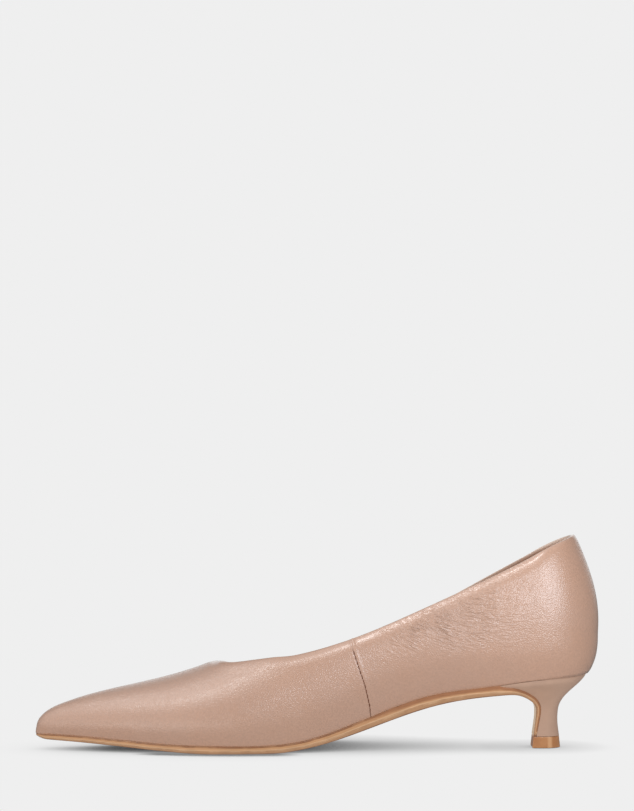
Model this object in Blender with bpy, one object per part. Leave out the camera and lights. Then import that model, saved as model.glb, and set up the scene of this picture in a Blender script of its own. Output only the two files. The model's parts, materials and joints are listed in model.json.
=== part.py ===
"""A pointed court shoe with a kitten heel, right foot, as the pieces that a shoemaker puts together.

Sizes and tables are in millimetres, and the meshes in metres. The toe points to -X, the inner side of the foot
is -Y and +Z is up. Distances along the shoe are measured from the tip of the toe. Across the shoe they are
measured from the axis of the heel, and the toe swings a little to the inner side of that axis.
"""

import math

import bmesh
import bpy
import numpy as np

MM = 0.001

# Driving dimensions
SHOE_LENGTH = 256.0
WALL = 1.8
GAP = 0.3
TOE_ROUND = 6.0
THROAT = 81.7
HEEL_CENTRE = 228.0
BREAST = 210.0
LASTING_MARGIN = 7.0
SPINE_START = 26.0
INSOLE_THICKNESS = 2.0
INSOLE_CLEARANCE = 2.4
SOLE_EDGE = 0.4
SOLE_SIDE_SHARE = 0.62
SOLE_BEVEL = 1.3
SOLE_BEVEL_SHARE = 0.25
FLAP_BEVEL_SHARE = 0.33
BREAST_LEAD = 2.0
TOP_PIECE_HEIGHT = 4.9
TOP_PIECE_FLARE = 0.5
HEEL_STRAIGHT_SHARE = 0.45
HEEL_FRONT_SHARE = 0.96

# How finely the pieces are divided
TIP_STEPS = 6
VAMP_STEPS = 16
THROAT_STEPS = 8
THROAT_REACH = 15.0
QUARTER_STEPS = 20
HEEL_FAN_STEPS = 22
WALL_STEPS = 12
WALL_LOWER_SHARE = 0.28
ROW_SQUEEZE = 0.7
ROW_HOLD = 3.0
HEEL_REFINE = 2
LEVEL_STEP = 0.05
SETTLE_ROUNDS = 12
MERGE = 1e-6
SHARP_ANGLE = math.radians(35)
HEEL_SIDE_STEPS = 2
HEEL_BACK_STEPS = 12
SOLE_ACROSS_STEPS = 4

INNER, OUTER = "inner", "outer"

# Cross-sections of the upper: the feather edge where it meets the sole, the widest line above that edge and the
# crest, which is the ridge of the vamp and, behind the throat, the unseen ridge of the last
SECTION_COLUMNS = (
    "from_toe", "feather_z", "inner_feather", "outer_feather",
    "inner_widest", "outer_widest", "widest_rise", "crest_y", "crest_z",
)
SECTION_ROWS = (
    (0, 7.0, -13.0, -3.0, -13.6, -2.4, 3.0, -8.0, 12.2),
    (4, 7.1, -14.6, -1.4, -15.3, -0.7, 3.2, -8.0, 16.0),
    (11, 7.1, -17.4, 1.4, -18.4, 2.5, 3.8, -7.9, 20.1),
    (22, 6.7, -21.6, 6.2, -23.0, 7.8, 4.8, -7.6, 24.0),
    (44, 5.2, -28.5, 15.5, -30.4, 18.0, 6.5, -6.8, 29.3),
    (66, 3.8, -33.8, 24.5, -36.2, 27.4, 8.0, -5.5, 34.7),
    (82, 3.5, -35.6, 29.8, -38.2, 33.0, 9.0, -4.5, 40.2),
    (105, 3.5, -33.8, 34.6, -36.8, 37.6, 11.0, -3.2, 50.0),
    (120, 4.9, -30.6, 35.0, -34.2, 37.6, 13.0, -2.4, 58.0),
    (140, 10.9, -25.6, 32.4, -31.0, 35.0, 17.0, -1.5, 69.0),
    (160, 18.7, -22.0, 28.8, -28.4, 31.4, 19.0, -0.8, 80.5),
    (180, 25.2, -21.2, 26.0, -27.6, 29.2, 18.5, -0.3, 93.0),
    (205, 28.9, -23.2, 24.2, -28.0, 28.6, 16.5, 0.0, 105.0),
    (228, 32.3, -24.8, 24.8, -28.4, 28.4, 15.0, 0.0, 113.0),
    (250, 33.3, -24.8, 24.8, -28.4, 28.4, 15.0, 0.0, 113.0),
)

# Height of the opening's edge on each side of the foot
TOPLINE_COLUMNS = ("from_toe", "inner_z", "outer_z")
TOPLINE_ROWS = (
    (82, 40.2, 40.2),
    (88, 39.9, 38.0),
    (96, 40.9, 36.9),
    (110, 42.9, 37.2),
    (130, 47.1, 40.9),
    (150, 53.5, 48.0),
    (175, 64.2, 59.2),
    (200, 75.7, 73.0),
    (220, 85.5, 84.2),
    (232, 91.5, 90.5),
    (246, 97.0, 97.0),
)

# Profile of the back of the heel, seen from the side
BACK_COLUMNS = ("z", "from_toe")
BACK_ROWS = (
    (33.0, 250.0),
    (38.0, 252.8),
    (44.0, 254.5),
    (52.0, 255.8),
    (60.0, 256.0),
    (70.0, 254.8),
    (84.0, 250.6),
    (97.0, 245.2),
)

# Underside of the outsole from the toe to the breast; what falls below the floor is the flat tread
UNDERSIDE_COLUMNS = ("from_toe", "z")
UNDERSIDE_ROWS = (
    (0, 4.9),
    (26, 3.7),
    (50, 1.8),
    (76, 0.0),
    (94, -0.4),
    (109, -0.1),
    (119, 1.1),
    (134, 4.5),
    (160, 13.4),
    (185, 21.3),
    (210, 25.2),
)

# Levels of the heel from its seat down to the top piece, and the sole's flap that covers its front
HEEL_COLUMNS = ("front", "front_z", "back", "back_z", "half_width", "flap")
HEEL_ROWS = (
    (210.0, 29.2, 250.2, 33.0, 24.6, 3.9),
    (216.0, 28.5, 249.4, 31.2, 23.4, 2.9),
    (220.6, 27.1, 247.2, 28.6, 20.2, 2.3),
    (224.4, 25.1, 244.0, 25.9, 16.4, 2.2),
    (227.4, 22.7, 240.8, 23.1, 12.8, 2.1),
    (229.1, 20.0, 238.8, 20.3, 10.0, 1.95),
    (229.6, 17.3, 237.9, 17.5, 8.2, 1.85),
    (229.3, 14.0, 237.6, 14.0, 7.1, 1.65),
    (228.6, 10.5, 237.7, 10.5, 6.7, 1.35),
    (227.6, 5.2, 238.4, 5.2, 7.0, 1.1),
)

# Finishes: base colour, roughness
FINISHES = {
    "upper": ((0.50, 0.32, 0.235), 0.42),
    "insole": ((0.60, 0.42, 0.30), 0.60),
    "outsole": ((0.55, 0.30, 0.15), 0.45),
    "heel": ((0.46, 0.31, 0.235), 0.40),
    "top_piece": ((0.50, 0.26, 0.12), 0.50),
}


def spline_through(places, values):
    """A natural cubic spline through the values at the places, as a function of the place."""
    places = np.array(places, float)
    values = np.array(values, float)
    steps = np.diff(places)
    slopes = np.diff(values) / steps
    count = len(places)
    matrix = np.eye(count)
    right = np.zeros(count)
    for i in range(1, count - 1):
        matrix[i, i - 1 : i + 2] = steps[i - 1], 2 * (steps[i - 1] + steps[i]), steps[i]
        right[i] = 6 * (slopes[i] - slopes[i - 1])
    bends = np.linalg.solve(matrix, right)

    def value(at):
        i = int(np.clip(np.searchsorted(places, at) - 1, 0, count - 2))
        before = (places[i + 1] - at) / steps[i]
        after = (at - places[i]) / steps[i]
        bow = (before**3 - before) * bends[i] + (after**3 - after) * bends[i + 1]
        return float(before * values[i] + after * values[i + 1] + bow * steps[i] ** 2 / 6)

    return value


class Table:
    """Rows of named columns, read on smooth curves between the rows."""

    def __init__(self, columns, rows, places=None):
        places = [row[0] for row in rows] if places is None else places
        self.curves = {
            name: spline_through(places, [row[i] for row in rows])
            for i, name in enumerate(columns)
        }

    def at(self, column, place):
        return self.curves[column](place)


SECTIONS = Table(SECTION_COLUMNS, SECTION_ROWS)
TOPLINE = Table(TOPLINE_COLUMNS, TOPLINE_ROWS)
BACK = Table(BACK_COLUMNS, BACK_ROWS)
UNDERSIDE = Table(UNDERSIDE_COLUMNS, UNDERSIDE_ROWS)
HEEL = Table(HEEL_COLUMNS, HEEL_ROWS, places=range(len(HEEL_ROWS)))


def feather_z(from_toe):
    """Height of the feather edge, which is that of the whole bottom at a distance from the toe."""
    return SECTIONS.at("feather_z", from_toe)


def tip_rounding(from_toe):
    """How much of the width is left in the round tip of the toe: 0 at its front, 1 behind it."""
    if from_toe >= TOE_ROUND:
        return 1.0
    return math.sqrt(1 - (1 - from_toe / TOE_ROUND) ** 2)


class Section:
    """One side of the upper's cross-section at a distance from the toe."""

    def __init__(self, from_toe, side):
        rounding = tip_rounding(from_toe)
        self.feather_z = feather_z(from_toe)
        self.widest_z = self.feather_z + SECTIONS.at("widest_rise", from_toe)
        self.crest_y = SECTIONS.at("crest_y", from_toe)
        self.crest_z = SECTIONS.at("crest_z", from_toe)
        self.feather_y = self.rounded(SECTIONS.at(side + "_feather", from_toe), rounding)
        self.widest_y = self.rounded(SECTIONS.at(side + "_widest", from_toe), rounding)

    def rounded(self, y, rounding):
        return self.crest_y + (y - self.crest_y) * rounding

    def height(self, climb):
        """Height above the floor at a share of the way from the feather edge to the crest."""
        if climb < WALL_LOWER_SHARE:
            return self.feather_z + (self.widest_z - self.feather_z) * climb / WALL_LOWER_SHARE
        turn = (climb - WALL_LOWER_SHARE) / (1 - WALL_LOWER_SHARE) * math.pi / 2
        return self.widest_z + (self.crest_z - self.widest_z) * math.sin(turn)

    def climb(self, z):
        """The share of the way to the crest at a height on the upper part of the wall."""
        sine = min(1.0, (z - self.widest_z) / (self.crest_z - self.widest_z))
        return WALL_LOWER_SHARE + (1 - WALL_LOWER_SHARE) * math.asin(sine) / (math.pi / 2)

    def across(self, z):
        """Where the wall is across the shoe at a height."""
        if z < self.widest_z:
            below = (self.widest_z - z) / (self.widest_z - self.feather_z)
            return self.widest_y + (self.feather_y - self.widest_y) * below**2
        sine = min(1.0, (z - self.widest_z) / (self.crest_z - self.widest_z))
        return self.crest_y + (self.widest_y - self.crest_y) * math.sqrt(1 - sine**2)


def side_stations():
    """Distances from the toe of the sections on each side, closer together at the tip and behind the throat."""
    tip = [TOE_ROUND * (1 - math.cos(math.pi / 2 * k / TIP_STEPS)) for k in range(TIP_STEPS)]
    vamp = list(np.linspace(TOE_ROUND, THROAT, VAMP_STEPS + 1))
    throat = [THROAT + THROAT_REACH * (k / THROAT_STEPS) ** 2 for k in range(1, THROAT_STEPS)]
    quarter = list(np.linspace(THROAT + THROAT_REACH, HEEL_CENTRE, QUARTER_STEPS + 1))
    return tip + vamp + throat + quarter


def row_climb(share, top):
    """Climb of a row of the wall: low rows run on past the throat, and those near the top close up under it."""
    drop = 1 - top
    if drop < MERGE:
        return share
    hold = max(0.0, min(ROW_HOLD, ROW_SQUEEZE / drop - 1))
    return share - drop * share ** (hold + 1)


def side_column(from_toe, side):
    """Points (from toe, across, up) of one side section, from the feather edge to the topline or the crest."""
    section = Section(from_toe, side)
    top = 1.0
    if from_toe > THROAT:
        top = section.climb(TOPLINE.at(side + "_z", from_toe))
    column = []
    for step in range(WALL_STEPS + 1):
        z = section.height(row_climb(step / WALL_STEPS, top))
        column.append((from_toe, section.across(z), z))
    if top == 1.0:
        column[-1] = (from_toe, section.crest_y, section.crest_z)
    return column


def heel_place(side, turn, z):
    """Point of the heel's round back at a height: turn runs from 0 at the side to 90 degrees at the back."""
    reach = BACK.at("from_toe", z) - HEEL_CENTRE
    half_width = Section(HEEL_CENTRE, side).across(z)
    return HEEL_CENTRE + reach * math.sin(turn), half_width * math.cos(turn), z


def settle(height_at, side, turn, z):
    """The height where the heel's back meets a line that is given by its height along the shoe."""
    for _ in range(SETTLE_ROUNDS):
        z = height_at(heel_place(side, turn, z)[0])
    return z


def heel_column(side, turn):
    """Points of the heel's round back, from the feather edge to the topline."""
    bottom = settle(feather_z, side, turn, SECTION_ROWS[-1][1])
    top = settle(lambda s: TOPLINE.at(side + "_z", s), side, turn, TOPLINE_ROWS[-1][1])
    beside = [point[2] for point in side_column(HEEL_CENTRE, side)]
    shares = [(z - beside[0]) / (beside[-1] - beside[0]) for z in beside]
    return [heel_place(side, turn, bottom + (top - bottom) * share) for share in shares]


def upper_columns():
    """Columns of the upper's outer face, in order: tip, inner side, back, outer side, and round to the tip."""
    stations = side_stations()
    turns = [math.pi / 2 * k / (HEEL_FAN_STEPS // 2) for k in range(1, HEEL_FAN_STEPS // 2 + 1)]
    inner = [side_column(s, INNER) for s in stations] + [heel_column(INNER, t) for t in turns]
    outer = [heel_column(OUTER, t) for t in reversed(turns[:-1])]
    outer += [side_column(s, OUTER) for s in reversed(stations[1:])]
    return inner + outer


def spine(from_toe):
    """Point of the bottom's middle line that a place on its edge is drawn towards."""
    s = min(max(from_toe, SPINE_START), HEEL_CENTRE)
    middle = (SECTIONS.at("inner_feather", s) + SECTIONS.at("outer_feather", s)) / 2
    return np.array((s, middle))


def drawn_in(point, distance):
    """A place of the feather edge moved towards the bottom's middle line, and kept on the bottom's curve."""
    edge = np.array(point[:2])
    inward = spine(point[0]) - edge
    s, y = edge + inward / np.linalg.norm(inward) * distance
    return s, y, feather_z(s)


def inset(outline, distance):
    """Closed outline (from toe, across) moved inwards along its own normals."""
    points = np.array([p[:2] for p in outline])
    along = np.roll(points, -1, axis=0) - np.roll(points, 1, axis=0)
    normals = np.stack([along[:, 1], -along[:, 0]], axis=1)
    normals /= np.linalg.norm(normals, axis=1)[:, None]
    inward = np.mean(points, axis=0) - points
    if (normals * inward).sum() < 0:
        normals = -normals
    return points + normals * distance


def place(point):
    """A point (from toe, across, up) in millimetres as a vertex in metres, with X along the shoe."""
    s, y, z = point
    return ((s - SHOE_LENGTH / 2) * MM, y * MM, z * MM)


def new_object(name, mesh_maker, parent):
    """An object of its own for a piece, with its mesh from bmesh and its own finish."""
    made = bmesh.new()
    mesh_maker(made)
    bmesh.ops.remove_doubles(made, verts=made.verts, dist=MERGE)
    bmesh.ops.recalc_face_normals(made, faces=made.faces)
    mesh = bpy.data.meshes.new(name)
    made.to_mesh(mesh)
    made.free()
    obj = bpy.data.objects.new(name, mesh)
    bpy.context.scene.collection.objects.link(obj)
    obj.parent = parent
    colour, roughness = FINISHES[name]
    material = bpy.data.materials.new(name)
    material.use_nodes = True
    shader = material.node_tree.nodes["Principled BSDF"]
    shader.inputs["Base Color"].default_value = (*colour, 1)
    shader.inputs["Roughness"].default_value = roughness
    mesh.materials.append(material)
    mesh.shade_smooth()
    mesh.set_sharp_from_angle(angle=SHARP_ANGLE)
    return obj


def strip(made, first, second):
    """Quads between two rows of vertices of the same length."""
    for i in range(len(first) - 1):
        corners = []
        for vertex in (first[i], first[i + 1], second[i + 1], second[i]):
            if all((vertex.co - seen.co).length > MERGE for seen in corners):
                corners.append(vertex)
        if len(corners) > 2:
            made.faces.new(corners)


def rows_of(made, loops):
    """Vertices for rows of points."""
    return [[made.verts.new(place(point)) for point in loop] for loop in loops]


def ladder(made, loop):
    """Closes a loop that runs down one side and back up the other with rungs between its two sides."""
    half = len(loop) // 2
    strip(made, loop[:half], loop[: half - 1 : -1][:half])
    if len(loop) % 2:
        made.faces.new((loop[half - 1], loop[half], loop[half + 1]))


def loft(made, loops):
    """A closed solid through loops of points, with a ladder of faces over each end."""
    rows = rows_of(made, loops)
    for first, second in zip(rows, rows[1:]):
        strip(made, first + first[:1], second + second[:1])
    ladder(made, rows[0])
    ladder(made, rows[-1])


def make_upper(parent):
    """The vamp and quarters as one wall, turned in under the insole, open at the collar and underneath."""
    columns = upper_columns()

    def sheet(made):
        margin = [[drawn_in(column[0], LASTING_MARGIN)] for column in columns]
        rows = rows_of(made, [turned + column for turned, column in zip(margin, columns)])
        for first, second in zip(rows, rows[1:] + rows[:1]):
            strip(made, first, second)

    upper = new_object("upper", sheet, parent)
    wall = upper.modifiers.new("wall", "SOLIDIFY")
    wall.thickness = WALL * MM
    wall.offset = -1
    wall.use_even_offset = True
    return upper


def make_insole(parent):
    """The sock-covered board on the upper's turned-in edge, following the curve of the bottom."""
    edge = inset([column[0] for column in upper_columns()], INSOLE_CLEARANCE)
    edge = np.roll(edge, -1, axis=0)
    low = WALL + GAP

    def board(made):
        levels = (low, low + INSOLE_THICKNESS)
        loft(made, [[(s, y, feather_z(s) + rise) for s, y in edge] for rise in levels])

    return new_object("insole", board, parent)


def sole_section(top, under, inner, outer, bevel):
    """Cross-section of the outsole between a line on its top and one on its underside."""
    top, under = np.array(top), np.array(under)
    side = top + (under - top) * SOLE_SIDE_SHARE
    across = np.linspace(0, 1, SOLE_ACROSS_STEPS + 1)
    loop = [(top[0], inner + (outer - inner) * t, top[1]) for t in across]
    loop += [(side[0], outer, side[1])]
    loop += [(under[0], outer - bevel - (outer - inner - 2 * bevel) * t, under[1]) for t in across]
    loop += [(side[0], inner, side[1])]
    return loop


def forepart_sections():
    """Sections of the outsole from the toe to the breast of the heel."""
    sections = []
    for s in side_stations():
        if s > BREAST - BREAST_LEAD:
            break
        grow = SOLE_EDGE * (1 - s / BREAST)
        inner = Section(s, INNER).feather_y - grow
        outer = Section(s, OUTER).feather_y + grow
        at = s - SOLE_EDGE if s == 0 else s
        bevel = min(SOLE_BEVEL, (outer - inner) * SOLE_BEVEL_SHARE)
        under_z = max(0.0, UNDERSIDE.at("z", s))
        sections.append(sole_section((at, feather_z(s) - GAP), (at, under_z), inner, outer, bevel))
    return sections


def heel_levels():
    """Places between the rows of the heel's table, from the seat down."""
    return np.linspace(0, len(HEEL_ROWS) - 1, HEEL_REFINE * (len(HEEL_ROWS) - 1) + 1)


def flap_sections():
    """Sections of the outsole's flap, which turns down over the front of the heel."""
    sections = []
    for level in heel_levels():
        before, here, after = (
            np.array((HEEL.at("front", at), HEEL.at("front_z", at)))
            for at in (level - LEVEL_STEP, level, level + LEVEL_STEP)
        )
        along = after - before
        outward = np.array((along[1], -along[0])) / np.linalg.norm(along)
        top = here + outward * GAP
        under = top + outward * HEEL.at("flap", level)
        half_width = HEEL.at("half_width", level) * HEEL_FRONT_SHARE
        bevel = HEEL.at("flap", level) * FLAP_BEVEL_SHARE
        sections.append(sole_section(top, under, -half_width, half_width, bevel))
    return sections


def make_outsole(parent):
    """The leather sole, from the tip of the toe along the arch and down the front of the heel."""
    return new_object("outsole", lambda made: loft(made, forepart_sections() + flap_sections()), parent)


def heel_loop(front, back, half_width):
    """D-shaped outline (from toe, across): its flat side is the breast, its round side the back."""
    middle = front + HEEL_STRAIGHT_SHARE * (back - front)
    side = []
    for k in range(HEEL_SIDE_STEPS):
        t = k / HEEL_SIDE_STEPS
        side.append((front + (middle - front) * t, half_width * (HEEL_FRONT_SHARE + (1 - HEEL_FRONT_SHARE) * t)))
    turns = [math.pi * k / HEEL_BACK_STEPS for k in range(HEEL_BACK_STEPS + 1)]
    back_round = [(middle + (back - middle) * math.sin(t), half_width * math.cos(t)) for t in turns]
    return side + back_round + [(s, -y) for s, y in reversed(side)]


def make_heel(parent):
    """The covered heel, from the seat under the upper down to the top piece."""
    loops = []
    for level in heel_levels():
        front, back = HEEL.at("front", level), HEEL.at("back", level)
        front_z, back_z = HEEL.at("front_z", level), HEEL.at("back_z", level)
        loop = []
        for s, y in heel_loop(front, back, HEEL.at("half_width", level)):
            z = front_z + (back_z - front_z) * (s - front) / (back - front)
            loop.append((s, y, feather_z(s) - GAP if level == 0 else z))
        loops.append(loop)
    return new_object("heel", lambda made: loft(made, loops), parent)


def make_top_piece(parent):
    """The wearing lift under the heel, a little wider at the floor."""
    front = HEEL_ROWS[-1][0] - GAP - HEEL_ROWS[-1][-1]
    back, half_width = HEEL_ROWS[-1][2], HEEL_ROWS[-1][4]
    loops = []
    for z, grow in ((TOP_PIECE_HEIGHT, 0.0), (0.0, TOP_PIECE_FLARE)):
        outline = heel_loop(front - grow, back + grow, half_width + grow)
        loops.append([(s, y, z) for s, y in outline])
    return new_object("top_piece", lambda made: loft(made, loops), parent)


def centre_on_floor(root, pieces):
    """Moves the shoe so that the origin is on the floor, under the middle of its box."""
    bpy.context.view_layer.update()
    graph = bpy.context.evaluated_depsgraph_get()
    corners = np.array([c for piece in pieces for c in piece.evaluated_get(graph).bound_box])
    middle = (corners.min(axis=0) + corners.max(axis=0)) / 2
    root.location = (-middle[0], -middle[1], -corners[:, 2].min())


def main():
    for obj in list(bpy.data.objects):
        bpy.data.objects.remove(obj)
    root = bpy.data.objects.new("shoe", None)
    bpy.context.scene.collection.objects.link(root)
    makers = (make_upper, make_insole, make_outsole, make_heel, make_top_piece)
    centre_on_floor(root, [make(root) for make in makers])


main()
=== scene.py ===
"""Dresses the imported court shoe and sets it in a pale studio.

Its pieces are the lasted leather upper, the stitches of its side seam, the sock, the leather sole, the
covered heel and the lift.
"""

import json
import logging
import math
from dataclasses import dataclass
from enum import Enum

import bpy
import numpy as np
from mathutils import Matrix, Vector
from mathutils.bvhtree import BVHTree
from mathutils.kdtree import KDTree

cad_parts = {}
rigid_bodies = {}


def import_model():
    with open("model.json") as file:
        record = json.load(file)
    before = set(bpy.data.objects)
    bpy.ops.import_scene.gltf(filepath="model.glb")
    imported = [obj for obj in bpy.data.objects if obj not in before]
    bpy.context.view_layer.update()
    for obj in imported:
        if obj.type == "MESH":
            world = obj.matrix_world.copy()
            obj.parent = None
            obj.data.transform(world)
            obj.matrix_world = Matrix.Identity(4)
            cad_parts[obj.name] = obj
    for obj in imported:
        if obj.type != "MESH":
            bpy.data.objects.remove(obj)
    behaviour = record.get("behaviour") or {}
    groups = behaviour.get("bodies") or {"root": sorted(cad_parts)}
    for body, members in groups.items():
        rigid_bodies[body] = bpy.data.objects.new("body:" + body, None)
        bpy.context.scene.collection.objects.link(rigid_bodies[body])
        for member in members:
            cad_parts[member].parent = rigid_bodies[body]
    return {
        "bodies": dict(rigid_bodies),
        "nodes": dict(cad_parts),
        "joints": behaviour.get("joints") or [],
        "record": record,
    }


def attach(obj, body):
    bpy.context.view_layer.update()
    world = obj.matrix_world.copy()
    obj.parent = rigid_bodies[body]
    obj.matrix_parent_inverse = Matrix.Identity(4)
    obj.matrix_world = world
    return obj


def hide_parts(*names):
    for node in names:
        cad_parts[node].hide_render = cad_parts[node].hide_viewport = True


LOG = logging.getLogger("court_shoe")
MM = 0.001
BODY = "root"
PHOTO_WIDTH = 634
PHOTO_HEIGHT = 811
MERGE_DISTANCE = 2e-6
QUAD_ANGLE = math.radians(40.0)
QUAD_SHAPE = math.radians(75.0)
FACING = 0.6
RELAX_STEP = 0.5
UP = (0.0, 0.0, 1.0)
BACKWARDS = (1.0, 0.0, 0.0)
WHOLE = (0.0, 1.0)
FALLING = (1.0, 0.0)
CLOUD = (0.3, 0.7)
SPREAD = (0.25, 0.75)

Colour = tuple[int, int, int]
Point2 = tuple[float, float]
Triple = tuple[float, float, float]
Reach = tuple[float, float, float, float]
Piece = bpy.types.Object
Material = bpy.types.Material
Socket = bpy.types.NodeSocket


class Side(Enum):
    """The two side walls of the shoe, by the sign of their place across it."""

    INNER = -1.0
    OUTER = 1.0


class Zone(Enum):
    """The zones of the upper's wall, by their material slot while it is shaped."""

    OUTSIDE = 0
    LINING = 1
    TURNED = 2


class SoleZone(Enum):
    """The sole's surfaces, by material slot."""

    EDGE = 0
    FACE = 1


def linear(colour: Colour) -> tuple[float, float, float, float]:
    """Turns a screen colour into the linear one that a shader takes.

    Args:
        colour: red, green and blue, 0 to 255.

    Returns:
        Linear red, green, blue and a full alpha.
    """
    parts = []
    for value in colour:
        share = value / 255.0
        parts.append(share / 12.92 if share <= 0.04045 else ((share + 0.055) / 1.055) ** 2.4)
    return (parts[0], parts[1], parts[2], 1.0)


def in_mm(span: Point2) -> Point2:
    """Turns a span in mm into one in metres."""
    return (span[0] * MM, span[1] * MM)


def smooth_step(low: float, high: float, value: np.ndarray) -> np.ndarray:
    """Rises smoothly from 0 at low to 1 at high.

    Args:
        low: where the rise starts.
        high: where it ends.
        value: the numbers to rate.

    Returns:
        Numbers from 0 to 1.
    """
    share = np.clip((value - low) / (high - low), 0.0, 1.0)
    return share * share * (3.0 - 2.0 * share)


def within(reach: Reach, value: np.ndarray) -> np.ndarray:
    """Rises smoothly from 0 to 1 where a reach starts, and falls back where it ends.

    Args:
        reach: where the rise starts and ends, then where the fall starts and ends.
        value: the numbers to rate.

    Returns:
        Numbers from 0 to 1.
    """
    start, begun, ending, end = reach
    return smooth_step(start, begun, value) * (1.0 - smooth_step(ending, end, value))


def dying_out(value: np.ndarray, reach: float) -> np.ndarray:
    """Falls straight from 1 at 0 to 0 at the reach."""
    return np.clip(1.0 - value / reach, 0.0, 1.0)


def swell(value: np.ndarray, middle: float, width: float) -> np.ndarray:
    """Makes a soft swell, 1 at its middle and gone two widths away."""
    return np.exp(-(((value - middle) / width) ** 2))


def sorted_points(rows: np.ndarray) -> KDTree:
    """Sorts points, so that the nearest ones are found quickly.

    Args:
        rows: the points, one row for each.

    Returns:
        A tree that gives a point's row number.
    """
    tree = KDTree(len(rows))
    for index, row in enumerate(rows):
        tree.insert(row, index)
    tree.balance()
    return tree


def nearest_on_path(flat: np.ndarray, path: np.ndarray) -> tuple[np.ndarray, np.ndarray]:
    """Finds how far points are from a line, and where along it.

    Args:
        flat: points in a plane.
        path: the line's points, in order.

    Returns:
        The distance, below 0 on the line's left, and the share of the line passed.
    """
    best = np.full(len(flat), np.inf)
    share = np.zeros(len(flat))
    for index in range(len(path) - 1):
        step = path[index + 1] - path[index]
        offset = flat - path[index]
        along = np.clip(offset @ step / (step @ step), 0.0, 1.0)
        away = offset - along[:, None] * step
        side = np.sign(step[0] * away[:, 1] - step[1] * away[:, 0])
        distance = np.linalg.norm(away, axis=1)
        closer = distance < np.abs(best)
        best = np.where(closer, -side * distance, best)
        share = np.where(closer, (index + along) / (len(path) - 1), share)
    return best, share


class NodeBoard:
    """A node tree, with short calls for the nodes that the finishes and the room share."""

    def __init__(self, tree: bpy.types.NodeTree) -> None:
        """Takes the tree to work on."""
        self.tree = tree

    def add(self, kind: str, **settings: object) -> bpy.types.Node:
        """Adds a node and sets its options.

        Args:
            kind: the node's type name.
            settings: option names and values.

        Returns:
            The new node.
        """
        node = self.tree.nodes.new(kind)
        for key, value in settings.items():
            setattr(node, key, value)
        return node

    def feed(self, socket: Socket, value: object) -> None:
        """Links a socket to another, or sets its constant.

        Args:
            socket: the input to fill.
            value: an output socket, or a plain value.
        """
        if isinstance(value, Socket):
            self.tree.links.new(value, socket)
        else:
            socket.default_value = value

    def calc(self, operation: str, *values: object) -> Socket:
        """Adds one step of arithmetic.

        Args:
            operation: the Math node's operation.
            values: the sockets and numbers that it takes, in order.

        Returns:
            The result.
        """
        node = self.add("ShaderNodeMath", operation=operation)
        for socket, value in zip(node.inputs, values):
            self.feed(socket, value)
        return node.outputs[0]

    def product(self, first: object, *others: object) -> Socket:
        """Multiplies values.

        Args:
            first: a socket or number.
            others: what it is multiplied by, sockets or numbers.

        Returns:
            The product.
        """
        total = first
        for other in others:
            total = self.calc("MULTIPLY", total, other)
        return total

    def layers(self, *parts: tuple[Socket, float]) -> Socket:
        """Lays patterns over each other.

        Args:
            parts: each pattern with its height.

        Returns:
            The height of all together.
        """
        total = 0.0
        for pattern, height in parts:
            total = self.calc("MULTIPLY_ADD", pattern, height, total)
        return total

    def ramp(self, value: Socket, span: Point2 = WHOLE, ends: tuple[object, object] = WHOLE) -> Socket:
        """Maps a span of values smoothly onto another.

        Args:
            value: the socket to map.
            span: the values that give the two ends.
            ends: the results there, sockets or numbers.

        Returns:
            The mapped value.
        """
        node = self.add("ShaderNodeMapRange", interpolation_type="SMOOTHSTEP")
        names = ("Value", "From Min", "From Max", "To Min", "To Max")
        for name, part in zip(names, (value, *span, *ends)):
            self.feed(node.inputs[name], part)
        return node.outputs["Result"]


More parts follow.
